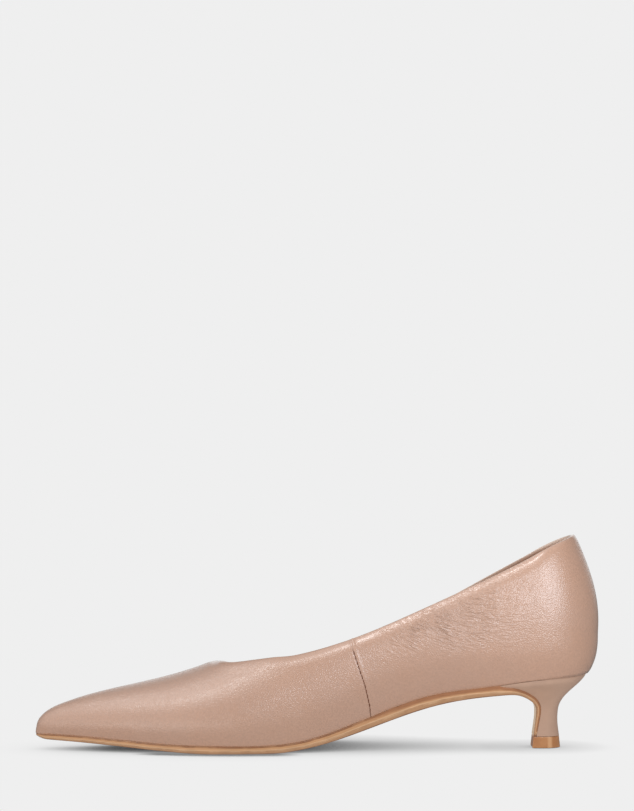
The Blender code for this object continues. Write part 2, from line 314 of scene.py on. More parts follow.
class Shader(NodeBoard):
    """One material on Object coordinates, with short calls for its patterns, colours and shine."""

    def __init__(self, name: str) -> None:
        """Starts a material with a Principled surface.

        Args:
            name: the material's name.
        """
        self.material = bpy.data.materials.new(name)
        self.material.use_nodes = True
        super().__init__(self.material.node_tree)
        self.surface = self.tree.nodes["Principled BSDF"]
        self.place = self.add("ShaderNodeTexCoord").outputs["Object"]

    def axis(self, letter: str) -> Socket:
        """Reads one of the Object coordinates.

        Args:
            letter: X, Y or Z.

        Returns:
            The coordinate, in metres.
        """
        node = self.add("ShaderNodeSeparateXYZ")
        self.feed(node.inputs[0], self.place)
        return node.outputs[letter]

    def own(self, name: str, output: str = "Fac") -> Socket:
        """Reads one of the piece's own attributes."""
        return self.add("ShaderNodeAttribute", attribute_name=name).outputs[output]

    def turned(self, stretch: Triple, turn: Triple = (0.0, 0.0, 0.0), vector: Socket | None = None) -> Socket:
        """Turns and stretches a pattern's coordinates.

        Args:
            stretch: how much each axis is scaled, after the turn.
            turn: the turn about each axis, in degrees.
            vector: the coordinates, or None for Object coordinates.

        Returns:
            The new coordinates.
        """
        spin = self.add("ShaderNodeMapping", vector_type="POINT")
        self.feed(spin.inputs["Vector"], self.place if vector is None else vector)
        self.feed(spin.inputs["Rotation"], tuple(math.radians(angle) for angle in turn))
        size = self.add("ShaderNodeMapping", vector_type="POINT")
        self.feed(size.inputs["Vector"], spin.outputs["Vector"])
        self.feed(size.inputs["Scale"], stretch)
        return size.outputs["Vector"]

    def noise(
        self,
        size_mm: float,
        detail: float = 2.0,
        rough: float = 0.5,
        vector: Socket | None = None,
        warp: float = 0.0,
    ) -> Socket:
        """Adds cloudy noise.

        Args:
            size_mm: the size of its blotches, in mm.
            detail: how many finer layers it has.
            rough: how strong the finer layers are.
            vector: the coordinates, or None for Object coordinates.
            warp: how far it is distorted.

        Returns:
            The noise, about 0 to 1.
        """
        node = self.add("ShaderNodeTexNoise")
        self.feed(node.inputs["Vector"], self.place if vector is None else vector)
        self.feed(node.inputs["Scale"], 1.0 / (size_mm * MM))
        self.feed(node.inputs["Detail"], detail)
        self.feed(node.inputs["Roughness"], rough)
        self.feed(node.inputs["Distortion"], warp)
        return node.outputs[0]

    def grain(self, size_mm: float, valley: float = 0.3) -> Socket:
        """Adds the pebbles of a leather grain, with fine valleys between them.

        Args:
            size_mm: the size of a pebble, in mm.
            valley: how far a valley reaches into a pebble.

        Returns:
            0 in the valleys, up to 1 on the pebbles.
        """
        node = self.add("ShaderNodeTexVoronoi", feature="DISTANCE_TO_EDGE")
        self.feed(node.inputs["Vector"], self.place)
        self.feed(node.inputs["Scale"], 1.0 / (size_mm * MM))
        return self.ramp(node.outputs["Distance"], (0.0, valley))

    def bands(self, value: Socket, stops: tuple[tuple[float, Colour], ...]) -> Socket:
        """Makes bands of colour that run into each other.

        Args:
            value: the socket to read, 0 to 1.
            stops: a place and a colour for each band, in order.

        Returns:
            The colour's socket.
        """
        node = self.add("ShaderNodeValToRGB")
        self.feed(node.inputs["Fac"], value)
        marks = node.color_ramp.elements
        for place, _ in stops[2:]:
            marks.new(place)
        for mark, (place, colour) in zip(marks, stops):
            mark.position = place
            mark.color = linear(colour)
        return node.outputs["Color"]

    def blend(self, factor: object, first: object, second: object, mode: str = "MIX") -> Socket:
        """Mixes two colours.

        Args:
            factor: how much of the second shows.
            first: a colour or socket.
            second: a colour or socket.
            mode: the mix's blend type.

        Returns:
            The mixed colour.
        """
        node = self.add("ShaderNodeMix", data_type="RGBA", blend_type=mode)
        self.feed(node.inputs[0], factor)
        self.feed(node.inputs[6], first)
        self.feed(node.inputs[7], second)
        return node.outputs[2]

    def mottle(self, size_mm: float, detail: float, first: Colour, second: Colour) -> Socket:
        """Lets two colours run into each other in soft blotches.

        Args:
            size_mm: the size of a blotch, in mm.
            detail: how many finer layers the blotches have.
            first: one colour.
            second: the other colour.

        Returns:
            The colour's socket.
        """
        share = self.ramp(self.noise(size_mm, detail), CLOUD)
        return self.blend(share, linear(first), linear(second))

    def shaded(self, tone: Socket, pattern: Socket, span: Point2, shades: Point2) -> Socket:
        """Darkens and lightens a colour by a pattern.

        Args:
            tone: the colour.
            pattern: the pattern.
            span: the pattern's low and high values.
            shades: what the colour is multiplied by at those values.

        Returns:
            The shaded colour.
        """
        return self.blend(1.0, tone, self.ramp(pattern, span, shades), "MULTIPLY")

    def paint(self, tone: Socket) -> None:
        """Gives the surface its colour."""
        self.feed(self.surface.inputs["Base Color"], tone)

    def relief(self, height_mm: Socket) -> None:
        """Raises the surface by a bump.

        Args:
            height_mm: the height, in mm.
        """
        node = self.add("ShaderNodeBump")
        self.feed(node.inputs["Strength"], 1.0)
        self.feed(node.inputs["Distance"], MM)
        self.feed(node.inputs["Height"], height_mm)
        for name in ("Normal", "Coat Normal"):
            self.feed(self.surface.inputs[name], node.outputs["Normal"])

    def gloss(
        self, roughness: object, coat: float = 0.0, coat_roughness: float = 0.3, specular: float = 0.5
    ) -> None:
        """Sets how the surface shines.

        Args:
            roughness: a number or socket.
            coat: the weight of the clear coat.
            coat_roughness: the coat's own roughness.
            specular: the specular level.
        """
        self.feed(self.surface.inputs["Roughness"], roughness)
        self.feed(self.surface.inputs["Coat Weight"], coat)
        self.feed(self.surface.inputs["Coat Roughness"], coat_roughness)
        self.feed(self.surface.inputs["Specular IOR Level"], specular)


@dataclass(frozen=True)
class Finish:
    """A finish of the shoe, with its material's name."""

    name: str

    def material(self) -> Material:
        """Builds the finish's material.

        Returns:
            The material.
        """
        shader = Shader(self.name)
        self.dress(shader)
        return shader.material

    def dress(self, shader: Shader) -> None:
        """Lays the finish's nodes, which each finish does in its own way."""
        raise NotImplementedError


@dataclass(frozen=True)
class UpperLeather(Finish):
    """Satin calf with a fine grain.

    It is crinkled on the quarters, puckered along its folded edge and dark in its seam; the inner side of its
    folded edge is lightened with painted light.
    """

    name: str = "upper_leather"
    warm: Colour = (212, 164, 136)
    cool: Colour = (210, 164, 138)
    cloud_mm: float = 34.0
    speck_mm: float = 0.9
    speck_shades: Point2 = (0.94, 1.05)
    seam_colour: Colour = (150, 100, 72)
    seam_half_mm: Point2 = (0.12, 0.3)
    seam_up_mm: Point2 = (44.0, 49.0)
    seam_faint: float = 0.15
    # Painted light: the pale colour that lightens the inner side of the folded top edge, where the wall's own
    # shade falls.
    rim_painted_light_colour: Colour = (246, 216, 196)
    grain_mm: float = 0.95
    grain_height: float = 0.044
    nap_mm: float = 0.4
    nap_height: float = 0.035
    crinkle_along_mm: float = 4.2
    crinkle_across_mm: float = 1.05
    crinkle_height: float = 0.3
    fine_across_mm: float = 0.6
    fine_height: float = 0.15
    fold_pitch: float = 1.6
    fold_warp: float = 0.5
    fold_slope: float = 0.42
    patch_mm: float = 8.0
    patch_span: Point2 = (0.32, 0.6)
    patch_share: Point2 = (0.45, 1.0)
    pucker_mm: float = 1.0
    pucker_stretch: Triple = (1.0, 1.0, 0.12)
    pucker_turn: Triple = (0.0, 26.0, 0.0)
    pucker_height: float = 0.16
    edge_grain: float = 0.12
    edge_roughness: float = 0.72
    sheen_mm: float = 7.0
    roughness: Point2 = (0.32, 0.41)
    coat: float = 1.0
    coat_roughness: float = 0.17
    specular: float = 1.5

    def dress(self, shader: Shader) -> None:
        """Lays the leather's nodes, which read the upper's own attributes.

        Args:
            shader: the material's shader.
        """
        edge = shader.own("edge")
        nap = shader.noise(self.nap_mm, detail=3.0, rough=0.6)
        skin = shader.layers((shader.grain(self.grain_mm), self.grain_height), (nap, self.nap_height))
        skin = shader.product(skin, shader.ramp(edge, WHOLE, (1.0, self.edge_grain)))
        coarse, fine = self.crinkles(shader)
        across_edge = shader.turned(self.pucker_stretch, self.pucker_turn)
        pleats = shader.noise(self.pucker_mm, detail=1.0, vector=across_edge)
        pucker = shader.product(pleats, shader.own("pucker"))
        heights = (1.0, self.crinkle_height, self.fine_height, self.pucker_height)
        shader.relief(shader.layers(*zip((skin, coarse, fine, pucker), heights)))
        tone = shader.mottle(self.cloud_mm, 2.0, self.warm, self.cool)
        tone = shader.shaded(tone, shader.noise(self.speck_mm), SPREAD, self.speck_shades)
        away = shader.calc("ABSOLUTE", shader.own("seam"))
        line = shader.ramp(away, in_mm(self.seam_half_mm), FALLING)
        shown = shader.ramp(shader.axis("Z"), in_mm(self.seam_up_mm), (1.0, self.seam_faint))
        tone = shader.blend(shader.product(line, shown), tone, linear(self.seam_colour))
        # Painted light: the inner side of the folded top edge is blended towards a pale colour, standing in
        # for light that its shade holds back.
        shader.paint(shader.blend(shader.own("rim_painted_light"), tone, linear(self.rim_painted_light_colour)))
        sheen = shader.ramp(shader.noise(self.sheen_mm, detail=3.0), SPREAD, self.roughness)
        sheen = shader.product(sheen, shader.ramp(edge, WHOLE, (1.0, self.edge_roughness)))
        shader.gloss(sheen, self.coat, self.coat_roughness, self.specular)

    def crinkles(self, shader: Shader) -> list[Socket]:
        """Lays the coarse and the fine crinkles along the quarter's arcs.

        Args:
            shader: the material's shader.

        Returns:
            The two patterns, 0 in the folds and up to 1 between them.
        """
        stretch = (self.crinkle_across_mm / self.crinkle_along_mm, 1.0, 1.0)
        arc = shader.turned(stretch, vector=shader.own("arc", "Vector"))
        patches = shader.ramp(shader.noise(self.patch_mm), self.patch_span, self.patch_share)
        patches = shader.product(patches, shader.own("crinkle"))
        folds = []
        for across in (self.crinkle_across_mm, self.fine_across_mm):
            lines = shader.noise(across * self.fold_pitch, vector=arc, warp=self.fold_warp)
            ridge = shader.calc("ABSOLUTE", shader.calc("MULTIPLY_ADD", lines, 2.0, -1.0))
            folds.append(shader.product(shader.ramp(ridge, (0.0, self.fold_slope)), patches))
        return folds


@dataclass(frozen=True)
class CoverLeather(Finish):
    """The heel's cover: the same hide, skived thin and stretched smooth over the heel."""

    name: str = "heel_cover"
    colour: Colour = (203, 165, 141)
    shade: Colour = (196, 159, 136)
    cloud_mm: float = 9.0
    grain_mm: float = 0.6
    grain_height: float = 0.02
    pull_mm: float = 2.6
    pull_stretch: Triple = (1.0, 1.0, 0.35)
    pull_height: float = 0.05
    roughness: Point2 = (0.38, 0.48)
    coat: float = 0.14
    coat_roughness: float = 0.25

    def dress(self, shader: Shader) -> None:
        """Lays the cover's nodes.

        Args:
            shader: the material's shader.
        """
        pull = shader.noise(self.pull_mm, detail=3.0, vector=shader.turned(self.pull_stretch))
        grain = shader.grain(self.grain_mm)
        shader.relief(shader.layers((grain, self.grain_height), (pull, self.pull_height)))
        shader.paint(shader.mottle(self.cloud_mm, 3.0, self.colour, self.shade))
        shader.gloss(shader.ramp(pull, SPREAD, self.roughness), self.coat, self.coat_roughness)


@dataclass(frozen=True)
class LiningLeather(Finish):
    """Thin matt lining leather, inside the upper and over the insole."""

    colour: Colour
    shade: Colour
    roughness: Point2
    cloud_mm: float = 14.0
    grain_mm: float = 0.8
    grain_height: float = 0.03
    pore_mm: float = 0.35
    pore_height: float = 0.04
    pore_shades: Point2 = (0.95, 1.04)
    sheen_mm: float = 5.0

    def dress(self, shader: Shader) -> None:
        """Lays the lining's nodes.

        Args:
            shader: the material's shader.
        """
        grain = shader.grain(self.grain_mm)
        pores = shader.noise(self.pore_mm, detail=3.0)
        shader.relief(shader.layers((grain, self.grain_height), (pores, self.pore_height)))
        tone = shader.mottle(self.cloud_mm, 3.0, self.colour, self.shade)
        shader.paint(shader.shaded(tone, pores, SPREAD, self.pore_shades))
        shader.gloss(shader.ramp(shader.noise(self.sheen_mm), CLOUD, self.roughness))


@dataclass(frozen=True)
class WaxedEdge(Finish):
    """The waxed edge of a leather sole: inked against the upper, with a painted highlight on its ridge and
    painted shade on the sloped band and the foot below it.
    """

    name: str = "sole_edge"
    inked: Colour = (166, 112, 76)
    upper_side: Colour = (216, 162, 116)
    # Painted light: the ridge colour is a painted highlight, and the next two colours are painted shade,
    # darkest at the foot by the floor.
    ridge: Colour = (232, 189, 147)
    bevel: Colour = (198, 149, 109)
    foot: Colour = (150, 106, 78)
    wander_mm: float = 7.0
    wander: Point2 = (-0.03, 0.03)
    # Painted shade: the darker top of the edge along the waist, under the upper.
    waist_painted_shade: Colour = (178, 120, 82)
    waist_shade_mm: Point2 = (10.0, 45.0)
    waist_shade_band: Point2 = (0.55, 0.85)
    fibre_mm: float = 0.5
    fibre_stretch: Triple = (0.05, 0.4, 1.0)
    fibre_height: float = 0.025
    fibre_shades: Point2 = (0.96, 1.03)
    blotch_mm: float = 6.0
    blotch_shades: Point2 = (0.95, 1.04)
    roughness: Point2 = (0.25, 0.38)
    coat: float = 0.4
    coat_roughness: float = 0.18

    def dress(self, shader: Shader) -> None:
        """Lays the edge's nodes, which read the height across it.

        Args:
            shader: the material's shader.
        """
        along = shader.turned(self.fibre_stretch)
        fibres = shader.noise(self.fibre_mm, detail=3.0, rough=0.6, vector=along)
        shader.relief(shader.product(fibres, self.fibre_height))
        wander = shader.ramp(shader.noise(self.wander_mm), CLOUD, self.wander)
        across = shader.calc("ADD", shader.own("band"), wander)
        # Painted light across the edge: a painted highlight at the ridge, and painted shade on the sloped
        # band below it, darkest at the foot. The inked band against the upper is the edge's own colour.
        tone = shader.bands(across, (
            (0.0, self.foot), (0.1, self.bevel), (0.36, self.bevel), (0.46, self.ridge),
            (0.6, self.upper_side), (0.92, self.upper_side), (1.0, self.inked),
        ))
        # Painted shade along the top of the edge at the waist, where the upper shades it.
        waist_painted_shade = shader.ramp(shader.axis("X"), in_mm(self.waist_shade_mm))
        waist_painted_shade = shader.product(waist_painted_shade, shader.ramp(across, self.waist_shade_band))
        tone = shader.blend(waist_painted_shade, tone, linear(self.waist_painted_shade))
        tone = shader.shaded(tone, fibres, CLOUD, self.fibre_shades)
        shader.paint(shader.shaded(tone, shader.noise(self.blotch_mm), CLOUD, self.blotch_shades))
        shader.gloss(shader.ramp(fibres, CLOUD, self.roughness), self.coat, self.coat_roughness)


@dataclass(frozen=True)
class SoleLeather(Finish):
    """The natural tan face of the sole, lightly rubbed where it meets the floor."""

    name: str = "sole_face"
    colour: Colour = (243, 221, 195)
    rubbed: Colour = (206, 172, 140)
    cloud_mm: float = 16.0
    cloud_shades: Point2 = (0.95, 1.04)
    fibre_mm: float = 0.6
    fibre_height: float = 0.05
    tread_mm: Point2 = (0.3, 2.5)
    scuff_mm: float = 2.2
    scuff_stretch: Triple = (0.22, 1.0, 1.0)
    scuff_turn: Triple = (0.0, 0.0, 12.0)
    scuff_span: Point2 = (0.42, 0.72)
    scuff_height: float = -0.08
    roughness: Point2 = (0.4, 0.7)
    specular: float = 0.2

    def dress(self, shader: Shader) -> None:
        """Lays the sole's nodes.

        Args:
            shader: the material's shader.
        """
        fibre = shader.noise(self.fibre_mm, detail=4.0, rough=0.6)
        along = shader.turned(self.scuff_stretch, self.scuff_turn)
        scuff = shader.noise(self.scuff_mm, detail=4.0, rough=0.65, vector=along)
        tread = shader.ramp(shader.axis("Z"), in_mm(self.tread_mm), FALLING)
        wear = shader.product(tread, shader.ramp(scuff, self.scuff_span))
        shader.relief(shader.layers((fibre, self.fibre_height), (wear, self.scuff_height)))
        tone = shader.blend(wear, linear(self.colour), linear(self.rubbed))
        cloud = shader.noise(self.cloud_mm, detail=3.0)
        shader.paint(shader.shaded(tone, cloud, CLOUD, self.cloud_shades))
        shader.gloss(shader.ramp(wear, WHOLE, self.roughness), specular=self.specular)


@dataclass(frozen=True)
class LiftRubber(Finish):
    """The tan moulded rubber of the heel's wearing lift."""

    name: str = "lift_rubber"
    colour: Colour = (200, 139, 90)
    shade: Colour = (188, 126, 79)
    cloud_mm: float = 4.0
    # Painted highlight: a lighter upright band down the lift's curved side.
    painted_highlight: Colour = (228, 174, 126)
    painted_highlight_at_mm: float = 105.9
    painted_highlight_half_mm: Point2 = (0.375, 1.5)
    painted_highlight_share: float = 0.8
    mould_mm: float = 1.1
    mould_height: float = 0.03
    roughness: Point2 = (0.29, 0.42)
    coat: float = 0.5
    coat_roughness: float = 0.12

    def dress(self, shader: Shader) -> None:
        """Lays the rubber's nodes.

        Args:
            shader: the material's shader.
        """
        mould = shader.noise(self.mould_mm, detail=3.0)
        shader.relief(shader.product(mould, self.mould_height))
        tone = shader.mottle(self.cloud_mm, 2.0, self.colour, self.shade)
        # Painted highlight: an upright band of lighter colour down the lift's side, at its given place along
        # the shoe.
        away = shader.calc("ABSOLUTE", shader.calc("SUBTRACT", shader.axis("X"), self.painted_highlight_at_mm * MM))
        painted_highlight = shader.ramp(away, in_mm(self.painted_highlight_half_mm), (self.painted_highlight_share, 0.0))
        shader.paint(shader.blend(painted_highlight, tone, linear(self.painted_highlight)))
        shader.gloss(shader.ramp(mould, CLOUD, self.roughness), self.coat, self.coat_roughness)


@dataclass(frozen=True)
class SeamThread(Finish):
    """Dark brown waxed thread."""

    name: str = "seam_thread"
    colour: Colour = (132, 74, 44)
    shade: Colour = (106, 58, 34)
    twist_mm: float = 0.25
    twist_height: float = 0.05
    roughness: float = 0.55

    def dress(self, shader: Shader) -> None:
        """Lays the thread's nodes.

        Args:
            shader: the material's shader.
        """
        twist = shader.noise(self.twist_mm)
        shader.relief(shader.product(twist, self.twist_height))
        shader.paint(shader.blend(twist, linear(self.colour), linear(self.shade)))
        shader.gloss(self.roughness)


class Bench:
    """The hand tools that every piece shares: copies, selections and modifiers."""

    @staticmethod
    def only(piece: Piece) -> None:
        """Selects one object and nothing else.

        Args:
            piece: the object, which also becomes the active one.
        """
        bpy.ops.object.select_all(action="DESELECT")
        piece.select_set(True)
        bpy.context.view_layer.objects.active = piece

    @classmethod
    def open_mesh(cls, piece: Piece, elements: str = "FACE", action: str = "DESELECT") -> None:
        """Opens a piece in edit mode, with all of it or nothing selected.

        Args:
            piece: the piece to open.
            elements: what is picked there, FACE or EDGE.
            action: SELECT or DESELECT.
        """
        cls.only(piece)
        bpy.ops.object.mode_set(mode="EDIT")
        bpy.ops.mesh.select_mode(type=elements)
        bpy.ops.mesh.select_all(action=action)

    @staticmethod
    def close_mesh() -> None:
        """Goes back to object mode."""
        bpy.ops.object.mode_set(mode="OBJECT")

    @classmethod
    def pick_faces(cls, piece: Piece, chosen: np.ndarray) -> None:
        """Selects faces in edit mode, which it leaves on.

        Args:
            piece: the piece whose faces are picked.
            chosen: one truth value for each face.
        """
        cls.open_mesh(piece)
        cls.close_mesh()
        piece.data.polygons.foreach_set("select", chosen)
        bpy.ops.object.mode_set(mode="EDIT")

    @classmethod
    def copy_node(cls, frame: dict, node: str, name: str) -> Piece:
        """Copies a CAD node as a new piece, merged and in quads.

        Args:
            node: the CAD node's name.
            name: the new piece's name.

        Returns:
            The new piece, at the origin.
        """
        mesh = frame["nodes"][node].data.copy()
        mesh.name = name
        mesh.materials.clear()
        piece = bpy.data.objects.new(name, mesh)
        bpy.context.scene.collection.objects.link(piece)
        cls.open_mesh(piece, action="SELECT")
        bpy.ops.mesh.remove_doubles(threshold=MERGE_DISTANCE)
        bpy.ops.mesh.tris_convert_to_quads(
            face_threshold=QUAD_ANGLE, shape_threshold=QUAD_SHAPE, topology_influence=2.0
        )
        bpy.ops.mesh.select_all(action="DESELECT")
        cls.close_mesh()
        return piece

    @classmethod
    def apply(cls, piece: Piece, kind: str, **settings: object) -> None:
        """Adds a modifier and applies it.

        Args:
            piece: the piece to change.
            kind: the modifier's type.
            settings: option names and values.
        """
        cls.only(piece)
        modifier = piece.modifiers.new(kind.lower(), kind)
        for key, value in settings.items():
            setattr(modifier, key, value)
        bpy.ops.object.modifier_apply(modifier=modifier.name)

    @classmethod
    def soften(cls, piece: Piece, width_mm: float, sharp_degrees: float = 32.0) -> None:
        """Rounds a piece's hard edges a little.

        Args:
            piece: the piece to change.
            width_mm: how far the rounding reaches, in mm.
            sharp_degrees: the sharpness from which an edge is rounded.
        """
        limit = math.radians(sharp_degrees)
        cls.apply(piece, "BEVEL", width=width_mm * MM, segments=2, limit_method="ANGLE", angle_limit=limit)

    @classmethod
    def subdivide(cls, piece: Piece, levels: int = 2) -> None:
        """Smooths a piece by a subdivision surface."""
        cls.apply(piece, "SUBSURF", levels=levels, render_levels=levels)

    @classmethod
    def relax(cls, piece: Piece, share: np.ndarray, rounds: int) -> None:
        """Rounds a piece off by moving points towards their neighbours.

        Args:
            piece: the piece to change.
            share: how freely each point moves, 0 to 1.
            rounds: how often the points move.
        """
        places = cls.points(piece)
        pairs = np.zeros(len(piece.data.edges) * 2, dtype=np.int32)
        piece.data.edges.foreach_get("vertices", pairs)
        pairs = pairs.reshape(-1, 2)
        pairs = pairs[(share[pairs] > 0.0).any(axis=1)]
        near, inverse = np.unique(pairs, return_inverse=True)
        first, second = inverse.reshape(-1, 2).T
        count = np.bincount(inverse.ravel(), minlength=len(near))[:, None]
        spots, free = places[near], share[near][:, None]
        for _ in range(rounds):
            total = np.zeros_like(spots)
            np.add.at(total, first, spots[second])
            np.add.at(total, second, spots[first])
            spots += RELAX_STEP * free * (total / count - spots)
        places[near] = spots
        cls.move_points(piece, places)

    @classmethod
    def press_together(cls, piece: Piece, towards: Triple, by_mm: float) -> None:
        """Moves a piece's faces that look at its neighbour, so that the glued joint is closed.

        Args:
            piece: the piece to change.
            towards: the direction of the neighbour.
            by_mm: how far the faces move, in mm.
        """
        direction = np.array(towards)
        moving = cls.points_of(piece, cls.rows(piece.data.polygons, "normal") @ direction > FACING)
        places = cls.points(piece)
        places[moving] += direction * by_mm * MM
        cls.move_points(piece, places)

    @classmethod
    def shade_smooth(cls, piece: Piece) -> None:
        """Shades a piece smooth all over."""
        cls.only(piece)
        bpy.ops.object.shade_smooth()

    @staticmethod
    def rows(items: bpy.types.bpy_prop_collection, value: str) -> np.ndarray:
        """Reads a vector of each of a mesh's points or faces.

        Args:
            items: the mesh's vertices or polygons.
            value: the name of the vector.

        Returns:
            The vectors, one row for each.
        """
        values = np.zeros(len(items) * 3)
        items.foreach_get(value, values)
        return values.reshape(-1, 3)

    @classmethod
    def points(cls, piece: Piece) -> np.ndarray:
        """Reads a piece's points, one row for each."""
        return cls.rows(piece.data.vertices, "co")

    @staticmethod
    def points_of(piece: Piece, chosen: np.ndarray) -> np.ndarray:
        """Marks the points that chosen faces use.

        Args:
            piece: the piece to read.
            chosen: one truth value for each face.

        Returns:
            One truth value for each point.
        """
        used = np.zeros(len(piece.data.vertices), dtype=bool)
        for polygon, picked in zip(piece.data.polygons, chosen):
            if picked:
                used[list(polygon.vertices)] = True
        return used

    @staticmethod
    def slots(piece: Piece) -> np.ndarray:
        """Reads the material slot of each of a piece's faces.

        Args:
            piece: the piece to read.

        Returns:
            One slot number for each face.
        """
        numbers = np.zeros(len(piece.data.polygons), dtype=np.int32)
        piece.data.polygons.foreach_get("material_index", numbers)
        return numbers

    @staticmethod
    def move_points(piece: Piece, places: np.ndarray) -> None:
        """Writes a piece's points back."""
        piece.data.vertices.foreach_set("co", places.ravel())
        piece.data.update()

    @staticmethod
    def note(piece: Piece, name: str, values: np.ndarray) -> None:
        """Keeps a number or a vector for each point, for the material to read.

        Args:
            piece: the piece to mark.
            name: the attribute's name.
            values: one number or one row of three for each point.
        """
        wide = values.ndim == 2
        attribute = piece.data.attributes.new(name, "FLOAT_VECTOR" if wide else "FLOAT", "POINT")
        attribute.data.foreach_set("vector" if wide else "value", values.astype(np.float32).ravel())

    @staticmethod
    def hand_over(piece: Piece, node: str | None, slot: str) -> None:
        """Ties a finished piece to the shoe's body and hides the CAD node that it stands for.

        Args:
            piece: the finished piece.
            node: the CAD node that it stands for, or None.
            slot: not used.
        """
        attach(piece, BODY)
        if node is not None:
            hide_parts(node)


@dataclass(frozen=True)
class Crease:
    """A soft trough between two low ridges on a side wall, in mm along the shoe and up."""

    start: Point2
    end: Point2
    bow: float
    depth: float
    width: float = 0.42
    ridge_place: float = 1.7
    ridge_share: float = 0.45
    taper: float = 0.8
    steps: int = 14

    def path(self, shift: Point2) -> np.ndarray:
        """Gives the crease's line.

        Args:
            shift: how far the crease is moved along and up, in mm.

        Returns:
            Points along and up, in mm.
        """
        start = np.array(self.start) + shift
        end = np.array(self.end) + shift
        across = np.array((-(end - start)[1], (end - start)[0])) / np.linalg.norm(end - start)
        middle = (start + end) / 2.0 + across * self.bow * 2.0
        share = np.linspace(0.0, 1.0, self.steps + 1)[:, None]
        return (1.0 - share) ** 2 * start + 2.0 * share * (1.0 - share) * middle + share**2 * end

    def relief(self, flat: np.ndarray, shift: Point2) -> np.ndarray:
        """Gives the height of the crease at points of the wall.

        Args:
            flat: points along and up, in mm.
            shift: how far the crease is moved along and up, in mm.

        Returns:
            A height for each point, in mm, below 0 in the trough.
        """
        distance, share = nearest_on_path(flat, self.path(shift))
        full = np.sin(np.pi * np.clip(share, 0.0, 1.0)) ** self.taper
        trough = swell(distance, 0.0, self.width)
        ridges = swell(np.abs(distance), self.ridge_place * self.width, self.width)
        return self.depth * full * (self.ridge_share * ridges - trough)


@dataclass(frozen=True)
class SeatLine:
    """The line where the upper sits on the heel, which climbs straight to the back."""

    along_mm: Point2 = (101.0, 121.0)
    along_most: float = 1.3
    lift_mm: float = 1.65
    lift_reach: Reach = (16.0, 27.0, 38.0, 54.0)
    push_mm: float = 1.0
    push_reach: Reach = (18.0, 26.0, 38.0, 54.0)

    def straighten(self, piece: Piece) -> None:
        """Lifts a piece's points near the line's back end.

        Args:
            piece: the upper, the sock or the heel.
        """
        places = Bench.points(piece)
        start, end = self.along_mm
        along = np.clip((places[:, 0] / MM - start) / (end - start), 0.0, self.along_most)
        up = places[:, 2] / MM
        places[:, 0] += self.push_mm * MM * along * within(self.push_reach, up)
        places[:, 2] += self.lift_mm * MM * along * within(self.lift_reach, up)
        Bench.move_points(piece, places)


SEAT_LINE = SeatLine()


@dataclass
class ShoePart:
    """A part of the shoe that is made from the CAD node that it stands for."""

    node: str
    name: str
    slot: str
    finishes: tuple[Finish, ...]

    def build(self, frame: dict) -> Piece:
        """Builds and dresses the part.


        Returns:
            The finished piece.
        """
        piece = Bench.copy_node(frame, self.node, self.name)
        for finish in self.finishes:
            piece.data.materials.append(finish.material())
        self.form(piece)
        Bench.shade_smooth(piece)
        Bench.hand_over(piece, self.node, self.slot)
        return piece

    def form(self, piece: Piece) -> None:
        """Shapes the piece, which each part does in its own way."""
        raise NotImplementedError


